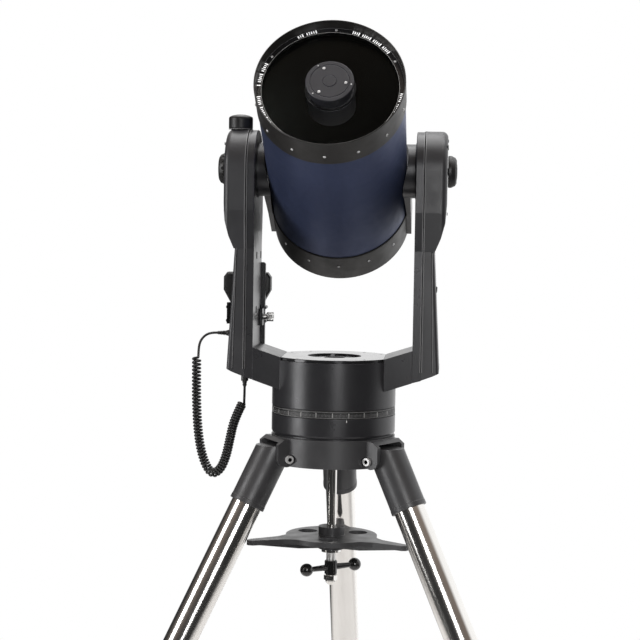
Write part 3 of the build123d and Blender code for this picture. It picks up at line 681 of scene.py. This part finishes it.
def ring_screws():
    """Radial button heads that hold the cells on the tube."""
    bm = bmesh.new()
    for height, first in ((FRONT_SCREWS_Z, -1.6), (REAR_SCREWS_Z, 0.8)):
        for step in range(RING_SCREWS):
            degrees = first + 360 / RING_SCREWS * step - 90
            out = on_circle(1, degrees, 0)
            if height < 0 and abs(out.x) > 0.9:
                continue              # the side bars cover these
            socket_screw(bm, aim(on_circle(CELL_R, degrees, height), out, degrees), 2.4, 1.3, 16)
    place("tube_ring_screws", bm, TUBE, "tube", zinc, "bolt_steel")


def retaining_ring_marks():
    """A graduation of short bars on the ring that holds the glass, painted highlight lines along its edges,
    and its six screws.
    """
    inks = bmesh.new()
    for middle, bars, gap in RING_MARK_GROUPS:
        for bar in range(bars):
            if bar % 6 == 5:
                continue              # a gap between groups of five
            tall = 2.2 if bar % 3 else 2.9
            wide = 1.3 if bar % 2 else 1.8
            at = spin(middle + (bar - bars / 2) * gap) @ shift((RING_MARKS_R, 0, RING_FRONT))
            slab(inks, (-tall, tall), (-wide / 2, wide / 2), (-0.1, 0.08), 0, at)
    place("retaining_ring_graduation", inks, TUBE, "tube", ring_ink_painted_glow, "gloss_black")
    for name, inner, look in RING_EDGE_HIGHLIGHTS:
        section = ring_section(inner, inner + RING_EDGE_WIDE, RING_FRONT - 0.1, RING_FRONT + 0.2)
        turned_piece(f"retaining_ring_{name}_edge", section, TUBE, "tube", look, "gloss_black", steps=128,
                     closed=True)
    screws = bmesh.new()
    for step in range(6):
        socket_screw(screws, shift(on_circle(RING_MARKS_R, 88 + 60 * step, RING_FRONT)), 2.1, 0.8, 16)
    place("retaining_ring_screws", screws, TUBE, "tube", zinc, "bolt_steel")


def secondary_details():
    """Collimation screws and locating pins in the face of the secondary housing, and its flange."""
    screws = bmesh.new()
    for degrees in (113, -7, -127):
        cross_screw(screws, shift(on_circle(COLLIMATION_R, degrees, LIP)), 2.3, 1.1)
    place("collimation_screws", screws, TUBE, "tube", zinc, "bolt_steel")
    pins = bmesh.new()
    for degrees in (124, -10, -136):
        turned(pins, [(1.1, 0), (1.1, 0.4), (0.7, 0.7), (0, 0.7)], shift(on_circle(PINS_R, degrees, LIP)), 12)
    place("secondary_pins", pins, TUBE, "tube", zinc, "bolt_steel")
    flange = [(36.8, GLASS_FRONT), (39.2, GLASS_FRONT), (39.2, GLASS_FRONT + 1.2), (38.6, GLASS_FRONT + 1.8),
              (37.2, GLASS_FRONT + 1.8)]
    turned_piece("secondary_flange", flange, TUBE, "tube", metal_black, "black_metal", steps=96, closed=True)


def baffle_lip():
    """The edge of the baffle tube, seen through the glass."""
    turned_piece("baffle_lip", ring_section(17.3, 19.1, 59.8, 60.6), TUBE, "tube", metal_black,
                 "black_metal", steps=64, closed=True)


def shell_groove():
    """The dark joint line where the painted shell enters the rear cell."""
    z = REAR + 67.5
    line = [(114.05, z), (115.0, z), (115.0, z + 2.2), (114.05, z + 2.6)]
    turned_piece("rear_cell_gasket", line, TUBE, "tube", flat_black, "black_plastic", steps=128, closed=True)


def rear_details():
    """Screws of the rear cell and the diagonal, the knurl of the visual back, and both thumbscrews."""
    bm = bmesh.new()
    for step in range(6):
        at = on_circle(REAR_CELL_SCREWS_R, 30 + 60 * step, REAR)
        if hypot(at.x - FOCUS_KNOB[0], at.y - FOCUS_KNOB[1]) < 22:
            continue                  # the focus knob covers this one
        cross_screw(bm, aim(at, (0, 0, -1)), 3.0, 1.6)
    place("rear_cell_screws", bm, TUBE, "tube", bright_steel, "bolt_steel")

    hub = bmesh.new()
    outline = [(28.2, REAR - 2, 0), (29.4, REAR - 3, 1), (29.4, REAR - 22, 1), (28.2, REAR - 23, 0)]
    grip(hub, outline, 60, 0.9)
    place("visual_back_knurl", hub, TUBE, "tube", metal_black, "black_metal")

    thumbs = (("visual_back", "tube", (0, 28.5, REAR - 14), (0, 1, 0), (1.6, 5, 4.4, 11)),
              ("diagonal", "diagonal", (19.4, 46, EYEPIECE_Z), (1, 0, 0), (1.5, 4, 4.0, 9.4)))
    for name, body, at, out, sizes in thumbs:
        thumb = bmesh.new()
        grip(thumb, thumbscrew_outline(*sizes), 20, 0.5, aim(at, out))
        place(f"{name}_thumbscrew", thumb, TUBE, body, bright_steel, "bolt_steel")
    screws = bmesh.new()
    for x in (-16, 16):
        for y in (-17, 20):
            cross_screw(screws, aim((x, y, REAR - 86), (0, 0, -1)), 1.9, 0.9)
    place("diagonal_screws", screws, TUBE, "diagonal", bright_steel, "bolt_steel")


def eyepiece_details():
    """The rubber grip, the eye cup, the glass and a white line of the eyepiece, along its own axis."""
    body = "eyepiece_barrel"
    rings = bmesh.new()
    grip(rings, [(21.4, 60, 0), (22.6, 61, 1), (22.6, 81, 1), (21.4, 82, 0)], 36, 1.2)
    place("eyepiece_grip", rings, EYEPIECE, body, rubber, "black_metal")
    cup = [(20.05, 86), (21.2, 87), (21.2, 99), (19.6, 106), (18.4, 107.4), (16.8, 107.4), (12, 105.9),
           (10.2, 106.0)]
    turned_piece("eyepiece_cup", cup, EYEPIECE, body, rubber, "black_metal")
    dome = [(8.6, 101.0), (6.5, 101.8), (3.5, 102.3), (0, 102.5)]
    turned_piece("eyepiece_lens", dome, EYEPIECE, body, lens, "black_metal", steps=32)
    line = ring_section(21.55, 21.75, 58.6, 59.4)
    turned_piece("eyepiece_band", line, EYEPIECE, body, white_ink, "black_metal", closed=True)


def finder_details():
    """Glass, grips, adjusting screws and foot screws of the finder."""
    home = TUBE @ shift((*FINDER, 0))
    front = [(24.9, 53.5), (18, 54.6), (9, 55.4), (0, 55.7)]
    turned_piece("finder_objective", front, home, "tube", lens, "black_metal")
    back = [(7.9, -147.2), (4, -147.8), (0, -148)]
    turned_piece("finder_eye_lens", back, home, "tube", lens, "black_metal", steps=24)
    rings = bmesh.new()
    grip(rings, [(28.05, 50, 0), (28.8, 50.6, 1), (28.8, 60.4, 1), (28.05, 61, 0)], 72, 0.5)
    grip(rings, [(16.4, -143, 0), (17.2, -143.6, 1), (17.2, -149.2, 1), (16.4, -149.8, 0)], 40, 0.5)
    place("finder_grips", rings, home, "tube", rubber, "black_metal")
    screws = bmesh.new()
    for z in (-100, -126):
        for step in range(3):
            degrees = FINDER_ANGLE + 120 * step
            stem = aim(on_circle(29.5, degrees, z), on_circle(1, degrees, 0))
            grip(screws, thumbscrew_outline(1.7, 1, 4.0, 7.8), 18, 0.5, stem)
    place("finder_adjusting_screws", screws, home, "tube", moulded, "black_plastic")
    feet = bmesh.new()
    out = on_circle(1, FINDER_ANGLE, 0)
    across = on_circle(9.5, FINDER_ANGLE + 90, 0)
    for z in (-113.5, -88.5):
        for side in (-1, 1):
            cross_screw(feet, aim(FINDER_FOOT_R * out + side * across + Vector((0, 0, z)), out), 2.2, 1.2)
    place("finder_foot_screws", feet, TUBE, "tube", bright_steel, "bolt_steel")


ring_screws()
retaining_ring_marks()
secondary_details()
baffle_lip()
shell_groove()
rear_details()
eyepiece_details()
finder_details()


def in_bolt_socket(point):
    """Whether a point of the leg bolts lies inside a hexagon socket. Legs stand every 120 degrees."""
    local = FORK.inverted() @ point
    for number in (1, 2, 3):
        out = Vector(JOINTS[f"leg_{number}_knob_turn"]["axis"]).xy.normalized()
        across = abs(local.xy.cross(out))
        reach = hypot(local.xy.dot(out) - PIVOT_R, point.z - PIVOT_Z)
        if reach < BOLT_SOCKET[0] and 0 < across - LUG_OUTER < BOLT_SOCKET[1]:
            return True
    return False


# painted light: the housing behind the glass gets a lit copy of its grey, where the tube's inside lies in
# shade
paint_faces("secondary_housing", housing_painted_light, within(TUBE, low=GLASS_FRONT - 40, high=GLASS_FRONT - 4))
paint_faces("tube_shell", flat_black, within(TUBE, SHELL_INNER_R))
paint_faces("secondary_housing", mirror_silver, within(TUBE, 34, high=GLASS_FRONT - 25.9))
paint_faces("leg_pivot_bolts", seam_shadow, in_bolt_socket)
paint_faces("star_diagonal", bright_steel, within(TUBE, 16.2, low=REAR - 41))
paint_faces("eyepiece", bright_steel, within(EYEPIECE, 16.2, high=57))


# ---- fork and drive base
DECK_SCREWS_R = 88
DECK_SCREWS = (-39, 37, 121.7, -121.7, 149, -149)      # degrees from the front
CIRCLE_MARKS = 288
PANEL_FIRST, PANEL_STEP = 114, 11                      # degrees from +X, from the switch to the last socket
BEAD_DEPTH = 1.2
SEAM_HIGHLIGHT_BEADS = ((141.4, 142.9, 0.5), (144.2, 145.7, 1.5))    # from the middle plane, and how proud of the arm
SEAM_GROOVE = (142.9, 144.2)


def deck_screws():
    """Cross-headed screws of the deck plate."""
    heads = bmesh.new()
    slots = bmesh.new()
    for azimuth in DECK_SCREWS:
        at = shift(on_circle(DECK_SCREWS_R, azimuth - 90, -1.2))
        cross_screw(heads, at, 2.5, 1.1, 16)
        cross_slots(slots, at, 2.5, 1.1)
    place("deck_screws", heads, FORK, "fork", metal_black, "black_metal")
    place("deck_screw_slots", slots, FORK, "fork", seam_shadow, "black_metal")


def circle_graduation():
    """Hour marks and finer marks on the azimuth setting circle, and its two border lines."""
    hours = bmesh.new()
    fine = bmesh.new()
    for mark in range(CIRCLE_MARKS):
        at = spin(3 + 360 * mark / CIRCLE_MARKS) @ shift((CIRCLE_R, 0, 0))
        if mark % 12 == 0:
            slab(hours, (-0.1, 0.08), (-0.55, 0.55), (-91.4, -84.2), 0, at)
        else:
            top = -86.2 if mark % 6 else -84.6
            slab(fine, (-0.1, 0.07), (-0.18, 0.18), (-91.0, top), 0, at)
    for z in (-83.0, -92.6):
        turned(fine, ring_section(CIRCLE_R - 0.1, CIRCLE_R + 0.06, z, z + 0.5), steps=144, closed=True)
    place("circle_hour_marks", hours, FORK, "setting_circle", hour_ink_and_edge_highlight, "circle_black")
    place("circle_fine_marks", fine, FORK, "setting_circle", grey_ink_and_highlight, "circle_black")


def base_details():
    """The index of the setting circle, the switch and sockets at the back, and the centre cap."""
    index = bmesh.new()
    at = spin(-90 + 16) @ shift((BASE_R, 0, -94.6)) @ spin(90, "Y") @ spin(90)
    prism(index, [(-0.9, -4.2), (0.9, -4.2), (0.2, 0), (-0.2, 0)], -0.05, 0.12, at)
    place("circle_index", index, FORK, "tripod", white_ink, "fork_paint")

    panel = bmesh.new()
    jack = bmesh.new()
    holes = bmesh.new()
    for step in range(4):
        at = spin(PANEL_FIRST + PANEL_STEP * step) @ shift((BASE_R - 0.4, 0, -38)) @ spin(90, "Y")
        if step == 0:
            slab(panel, (-9, 9), (-6, 6), (-3, 1.6), 1.0, at)
            slab(holes, (-6.4, 6.4), (-3.8, 3.8), (1.2, 2.6), 0.8, at @ spin(7, "Y"))
        elif step == 1:
            barrel = [(2.6, -2), (5.4, -2), (5.4, 1.4), (4.8, 2), (2.6, 2), (2.6, 0.2)]
            turned(jack, barrel, at, 32, closed=True)
            turned(jack, [(0, 0.3), (0.8, 0.3), (0.8, 1.6), (0, 1.8)], at, 16)
            turned(holes, [(0, 0.3), (2.6, 0.3)], at, 24)
        else:
            slab(panel, (-7, 7), (-7.4, 7.4), (-3, 1.4), 0.8, at)
            slab(holes, (-4.6, 4.6), (-5.2, 5.2), (0.9, 1.5), 0.3, at)
    place("panel_frames", panel, FORK, "fork", moulded, "black_plastic")
    place("panel_power_jack", jack, FORK, "fork", bright_steel, "bolt_steel")
    place("panel_openings", holes, FORK, "fork", seam_shadow, "black_plastic")

    cap = [(13.2, -18), (13.2, -14.6), (12.4, -14.0), (10.6, -14.0), (10.6, -15.6), (0, -15.6)]
    turned_piece("centre_cap", cap, FORK, "tripod", bright_steel, "bolt_steel")


def sided(side, near, far):
    """Limits along X, on one side of the middle plane."""
    return sorted((side * near, side * far))


def arm_bead(bm, side, across, grow):
    """A fine raised line round an arm's side outline, between two distances from the middle plane."""
    head, half = CASTING_R + grow, ARM_HALF + grow
    line = [(-half, ARM_BOTTOM), (-half, BULB_BOTTOM), (-head, BULB_CREASE)]
    line += [(-head * cos(radians(a)), FORK_AXIS + head * sin(radians(a))) for a in range(0, 181, 5)]
    line += [(head, BULB_CREASE), (half, BULB_BOTTOM), (half, ARM_BOTTOM)]
    columns = []
    for y, z in line:
        inward = 1 - BEAD_DEPTH / hypot(y, max(z - FORK_AXIS, 0.0))
        lower = (y * inward, FORK_AXIS + (z - FORK_AXIS) * inward) if z > FORK_AXIS else (y * inward, z)
        spots = ((across[0], lower), (across[0], (y, z)), (across[1], (y, z)), (across[1], lower))
        columns.append([bm.verts.new((side * x, *spot)) for x, spot in spots])
    for column, following in zip(columns, columns[1:]):
        for i in range(4):
            bm.faces.new([column[i], following[i], following[(i + 1) % 4], column[(i + 1) % 4]])


def arm_details(side):
    """Seams with painted highlight lines beside them, door, screws, slots and bearing ring of an arm. Side is
    -1 for the left arm, 1 for the right.
    """
    name = "left" if side < 0 else "right"
    seams = bmesh.new()
    ridges = bmesh.new()
    low, high = ARM_BOTTOM, BULB_BOTTOM - 1.5
    for y in (-56.0, 56.0):
        at = shift((0, y, 0)) @ spin(90, "X")
        # each dark door seam has a lighter line beside it, a painted highlight
        for drawing, near, far in ((seams, 157.0, 157.6), (ridges, 158.0, 159.2)):
            points = [(near, high), (near + 4.2, low), (far + 4.2, low), (far, high)]
            prism(drawing, [(side * x, z) for x, z in points], -0.1, 0.1, at)
    place(f"{name}_door_highlight_lines", ridges, FORK, "fork", bead_painted_highlight, "cover_plastic")
    for z in (BULB_BOTTOM - 1.2, -14.0):
        reach = 161.6 + (BULB_BOTTOM - z) * 11.1 / 196
        slab(seams, sided(side, reach - 1.0, reach + 0.08), (-50, 50), (z - 0.3, z + 0.3))
    place(f"{name}_door_seams", seams, FORK, "fork", seam_shadow, "cover_plastic")

    # raised lines beside the arm's seam, painted light as highlights; the groove between them is painted
    # shadow
    beads = bmesh.new()
    for inner, outer, grow in SEAM_HIGHLIGHT_BEADS:
        arm_bead(beads, side, (inner, outer), grow)
    place(f"{name}_seam_highlight_beads", beads, FORK, "fork", bead_painted_highlight, "fork_paint")
    groove = bmesh.new()
    arm_bead(groove, side, SEAM_GROOVE, 1.2)
    place(f"{name}_seam_groove", groove, FORK, "fork", seam_shadow, "fork_paint")

    latch = bmesh.new()
    lean = shift((side * 165.2, 0, 112)) @ spin(side * 3.24, "Y")
    slab(latch, (-1.4, 1.4), (-12, 12), (-5, 5), 1.2, lean)
    for rib in range(5):
        z = -3.2 + 1.6 * rib
        slab(latch, sided(side, 1.2, 2.0), (-9, 9), (z - 0.35, z + 0.35), 0.15, lean)
    place(f"{name}_door_latch", latch, FORK, "fork", moulded, "black_plastic")

    screws = bmesh.new()
    for y, z in ((-44, 236), (44, 236), (0, 354.5), (-44, 344), (44, 344)):
        if z > 350 and side < 0:
            continue                  # under the receiver's dome
        cross_screw(screws, aim((side * (BULB_OUTER - 0.05), y, z), (side, 0, 0)), 2.6, 1.1, 16)
    place(f"{name}_cover_screws", screws, FORK, "fork", metal_black, "black_metal")

    slots = bmesh.new()
    for y in (-14, 44):
        for low, high in ((157.5, 169.0), (68.5, 79.5)):
            slab(slots, sided(side, ARM_INNER - 0.08, ARM_INNER + 0.4), (y - 6, y + 6), (low, high))
    place(f"{name}_inner_slots", slots, FORK, "fork", seam_shadow, "fork_paint")

    collar = [(46, 0), (46, 1.0), (45.4, 1.4), (44.4, 1.4), (44.4, 0)]
    turned_piece(f"{name}_bearing_ring", collar, FORK, "fork", metal_black, "black_metal",
                 aim((side * (ARM_INNER - 0.2), 0, FORK_AXIS), (-side, 0, 0)), 64, closed=True)


def knob_details():
    """Caps and index marks of the two side knobs."""
    cap = [(12.5, -0.2), (12.5, 0.3), (11.6, 0.8), (6, 1.2), (0, 1.3)]
    for side, body in ((-1, "altitude_lock"), (1, "slow_motion")):
        face = aim((side * KNOB_FACE, 0, FORK_AXIS), (side, 0, 0))
        turned_piece(f"{body}_cap", cap, FORK, body, gloss_ring, "black_plastic", face, 40)
        turned_piece(f"{body}_ring", ring_section(13.4, 14.0, -0.1, 0.12), FORK, body, grey_ink_and_highlight,
                     "black_plastic", face, 40, closed=True)


def receiver_details():
    """A painted highlight along the joint line of the receiver's dome."""
    turned_piece("receiver_joint_highlight", ring_section(19.7, 20.1, 369.2, 370.0), FORK, "fork", grey_ink_and_highlight,
                 "puck_plastic", shift((-160.5, 0, 0)), 64, closed=True)


deck_screws()
circle_graduation()
base_details()
arm_details(-1)
arm_details(1)
knob_details()
receiver_details()


# ---- hand controller
KEYS_LOW = 20             # height of the lowest row of keys
KEY_FACE = 3.68
KEY_ACROSS, KEY_UP = 16, 12
ARROW_KEYS = {(2, 1): 0, (3, 0): -90, (3, 2): 90, (4, 1): 180}   # row and column, and the arrow's turn


def handbox_details():
    """The display, its bezel, the key legends and the seam of the shell."""
    for name, half, y, z, rounding, look in (("bezel", 32, (-1, 1.2), (96, 126), 1.0, gloss_ring),
                                             ("window", 27, (0.4, 1.5), (101, 121), 0.4, display)):
        bm = bmesh.new()
        slab(bm, (-half, half), y, z, rounding)
        place(f"handbox_{name}", bm, HANDBOX, "fork", look, "gloss_black")
    dots = bmesh.new()
    for row in range(2):
        for column in range(16):
            if (column * 7 + row * 5) % 4 == 3:
                continue              # a blank place in the row
            x, z = 3.1 * column - 24.3, 104 + 7.6 * row
            slab(dots, (x, x + 2.0), (1.45, 1.56), (z, z + 4))
    place("handbox_readout", dots, HANDBOX, "fork", readout, "gloss_black")
    legends = bmesh.new()
    thick = 0.12
    for row in range(5):
        for column in range(3):
            at = shift((KEY_ACROSS * (column - 1), KEY_FACE, KEYS_LOW + KEY_UP * row)) @ spin(-90, "X")
            if (row, column) in ARROW_KEYS:
                at = at @ spin(ARROW_KEYS[row, column])
                prism(legends, [(-1.6, 1.0), (1.6, 1.0), (0, -1.4)], 0, thick, at)
            elif (row, column) == (3, 1):
                turned(legends, ring_section(0.9, 1.5, 0, thick), at, 20, closed=True)
            else:
                slab(legends, (-1.7, 1.7), (-0.35, 0.35), (0, thick), 0, at)
    place("handbox_legends", legends, HANDBOX, "keypad", white_ink, "key_rubber")
    seam = bmesh.new()
    for side in (-1, 1):
        slab(seam, sided(side, 25.6, 26.08), (-14.4, -13.6), (8, 76))
    place("handbox_seam", seam, HANDBOX, "fork", seam_shadow, "black_plastic")


def thumbscrew():
    """The knurled screw that clamps the hand controller's cradle to the arm."""
    bm = bmesh.new()
    at = aim((-129.2, 46, 59), (1, 0, 0))
    grip(bm, [(0, 0, 0), (3, 0, 0), (3, 5.8, 0), (5, 5.8, 0), (5, 11.2, 0), (7.0, 11.2, 0), (7.7, 11.9, 1),
              (7.7, 21.6, 1), (7.0, 22.5, 0), (3.6, 22.5, 0), (3.2, 21.6, 0), (0, 21.6, 0)], 30, 0.8, at)
    place("cradle_thumbscrew", bm, FORK, "thumbscrew", bright_steel, "bolt_steel",
          replaced=["bracket_thumbscrew"])


handbox_details()
thumbscrew()


# ---- tripod
KNOB_OUT = 40.0           # a leg knob's place in its leg's frame
KNOB_DOWN = 778.0
THREAD_PITCH = 1.75
THREAD_TOP, THREAD_BOTTOM = -312.0, -372.0


def along_leg(number):
    """+Z down the leg's tube from its socket's cut, +X out from the leg, as the solids are drawn."""
    out = Vector(JOINTS[f"leg_{number}_knob_turn"]["axis"])
    down = Vector(JOINTS[f"leg_{number}_extend"]["axis"])
    place_at = Matrix((out, down.cross(out), down)).transposed().to_4x4()
    place_at.translation = joint_point(f"leg_{number}_knob_turn") - KNOB_OUT * out - KNOB_DOWN * down
    return place_at


def leg_details(number):
    """The socket's band, the collar's and foot's ribs and the knob's cap of one leg."""
    along = along_leg(number)
    leg = f"leg_{number}"
    band = [(29.0, 100), (29.5, 100.6), (29.5, 107.4), (29.0, 108)]
    turned_piece(f"{leg}_socket_band", band, along, leg, cast_black, "cast_black", steps=64)
    ribs = bmesh.new()
    for rib in range(4):
        z = 737 + 9 * rib
        turned(ribs, [(30.9, z), (31.6, z + 1), (31.6, z + 4), (30.9, z + 5)], steps=64)
    place(f"{leg}_collar_ribs", ribs, along, leg, moulded, "black_plastic")

    cap = [(9, 58.8), (9, 59.6), (8.2, 60.2), (0, 60.6)]
    turned_piece(f"{leg}_knob_cap", cap, along, f"{leg}_knob", bright_steel, "bolt_steel",
                 aim((0, 0, KNOB_DOWN), (1, 0, 0)), 32)

    foot = bmesh.new()
    for rib in range(3):
        z = 801 + 5.5 * rib
        turned(foot, [(27.4, z), (28.1, z + 0.8), (28.1, z + 2.8), (27.4, z + 3.6)], steps=56)
    place(f"{leg}_foot_ribs", foot, along, f"{leg}_lower", rubber, "foot_rubber")


def rod_details():
    """The threaded stretch of the centre rod."""
    outline = []
    z = THREAD_TOP
    while z > THREAD_BOTTOM:
        outline += [(7.52, z), (7.95, z - 0.45 * THREAD_PITCH), (7.52, z - 0.9 * THREAD_PITCH)]
        z -= THREAD_PITCH
    turned_piece("rod_thread", outline, FORK, "tension_rod", bright_steel, "rod_steel", steps=40)


for number in (1, 2, 3):
    leg_details(number)
rod_details()


# ---- studio
FLOOR_R = 1450
FADE_FROM, FADE_TO = 0.45, 0.98       # shares of the floor's radius
CENTRE = (0.0, 0.0, 0.95)             # the lights' target, in metres
BRIGHT_SIDE = (0.55, 0.75, 0.37)
BRIGHT = (1.15, 1.15, 1.15, 1)
DIM_LOW = (0.03, 0.03, 0.03, 1)
DIM_HIGH = (0.34, 0.28, 0.24, 1)


def make_floor():
    """A pale floor that fades out to the white round it."""
    bm = bmesh.new()
    turned(bm, [(FLOOR_R, 0), (0, 0)], steps=96)
    bm.transform(TO_METRES @ shift((0, 0, -0.5)))
    mesh = finished_mesh("floor", bm)
    t = Tree(new_material("floor_white"))
    colour = t.mix(t.span(t.noise(0.8), 0.0, 1.0), (0.80, 0.80, 0.80, 1), (0.82, 0.82, 0.82, 1))
    paper = t.add("BsdfPrincipled", Base_Color=colour, Roughness=0.6).outputs[0]
    clear = t.add("BsdfTransparent").outputs[0]
    away = t.add("VectorMath", {"operation": "LENGTH"}, Vector=t.place).outputs["Value"]
    fade = t.span(away, 0.0, 1.0, FADE_FROM * FLOOR_R * MM, FADE_TO * FLOOR_R * MM)
    mesh.materials.append(t.finished(t.blend(fade, paper, clear)))
    linked("floor", mesh)


def soft_light(name, at, target, width, height, power, colour=(1, 1, 1)):
    """An area light in metres, aimed at a point of the row frame."""
    data = bpy.data.lights.new(name, "AREA")
    data.shape = "RECTANGLE"
    data.size, data.size_y = width, height
    data.energy = power
    data.color = colour
    light = linked(name, data)
    light.location = at
    light.rotation_euler = (Vector(target) - Vector(at)).to_track_quat("-Z", "Y").to_euler()
    light.visible_camera = False


def make_world():
    """White to the camera. Reflections see a white room behind and to the right, and a dim one in front."""
    world = bpy.data.worlds.new("studio")
    bpy.context.scene.world = world
    t = Tree(world, "OutputWorld")
    direction = t.coordinates["Generated"]
    height = t.add("SeparateXYZ", Vector=direction).outputs["Z"]
    dim = t.mix(t.span(height, 0.0, 1.0, 0.15, 0.75, "SMOOTHSTEP"), DIM_LOW, DIM_HIGH)
    bright = t.span(t.dot(direction, BRIGHT_SIDE), 0.0, 1.0, 0.3, 0.75, "SMOOTHSTEP")
    room = t.add("Background", Color=t.mix(bright, dim, BRIGHT)).outputs[0]
    seen = t.add("Background", Color=(1, 1, 1, 1)).outputs[0]
    t.finished(t.blend(t.add("LightPath").outputs["Is Camera Ray"], room, seen))


make_floor()
make_world()
soft_light("key_left", (-2.6, -1.35, 1.3), CENTRE, 1.1, 2.4, 52)
soft_light("near_camera", (0.65, -3.3, 1.5), CENTRE, 0.9, 1.6, 38)
soft_light("glass_streak", (-0.42, -1.45, 3.4), (0.0, -0.3, 1.3), 0.08, 0.3, 0.6, (0.94, 1.0, 0.94))
soft_light("top", (0.15, 0.3, 3.1), CENTRE, 2.2, 1.8, 46)

bpy.context.scene.view_settings.view_transform = "Standard"
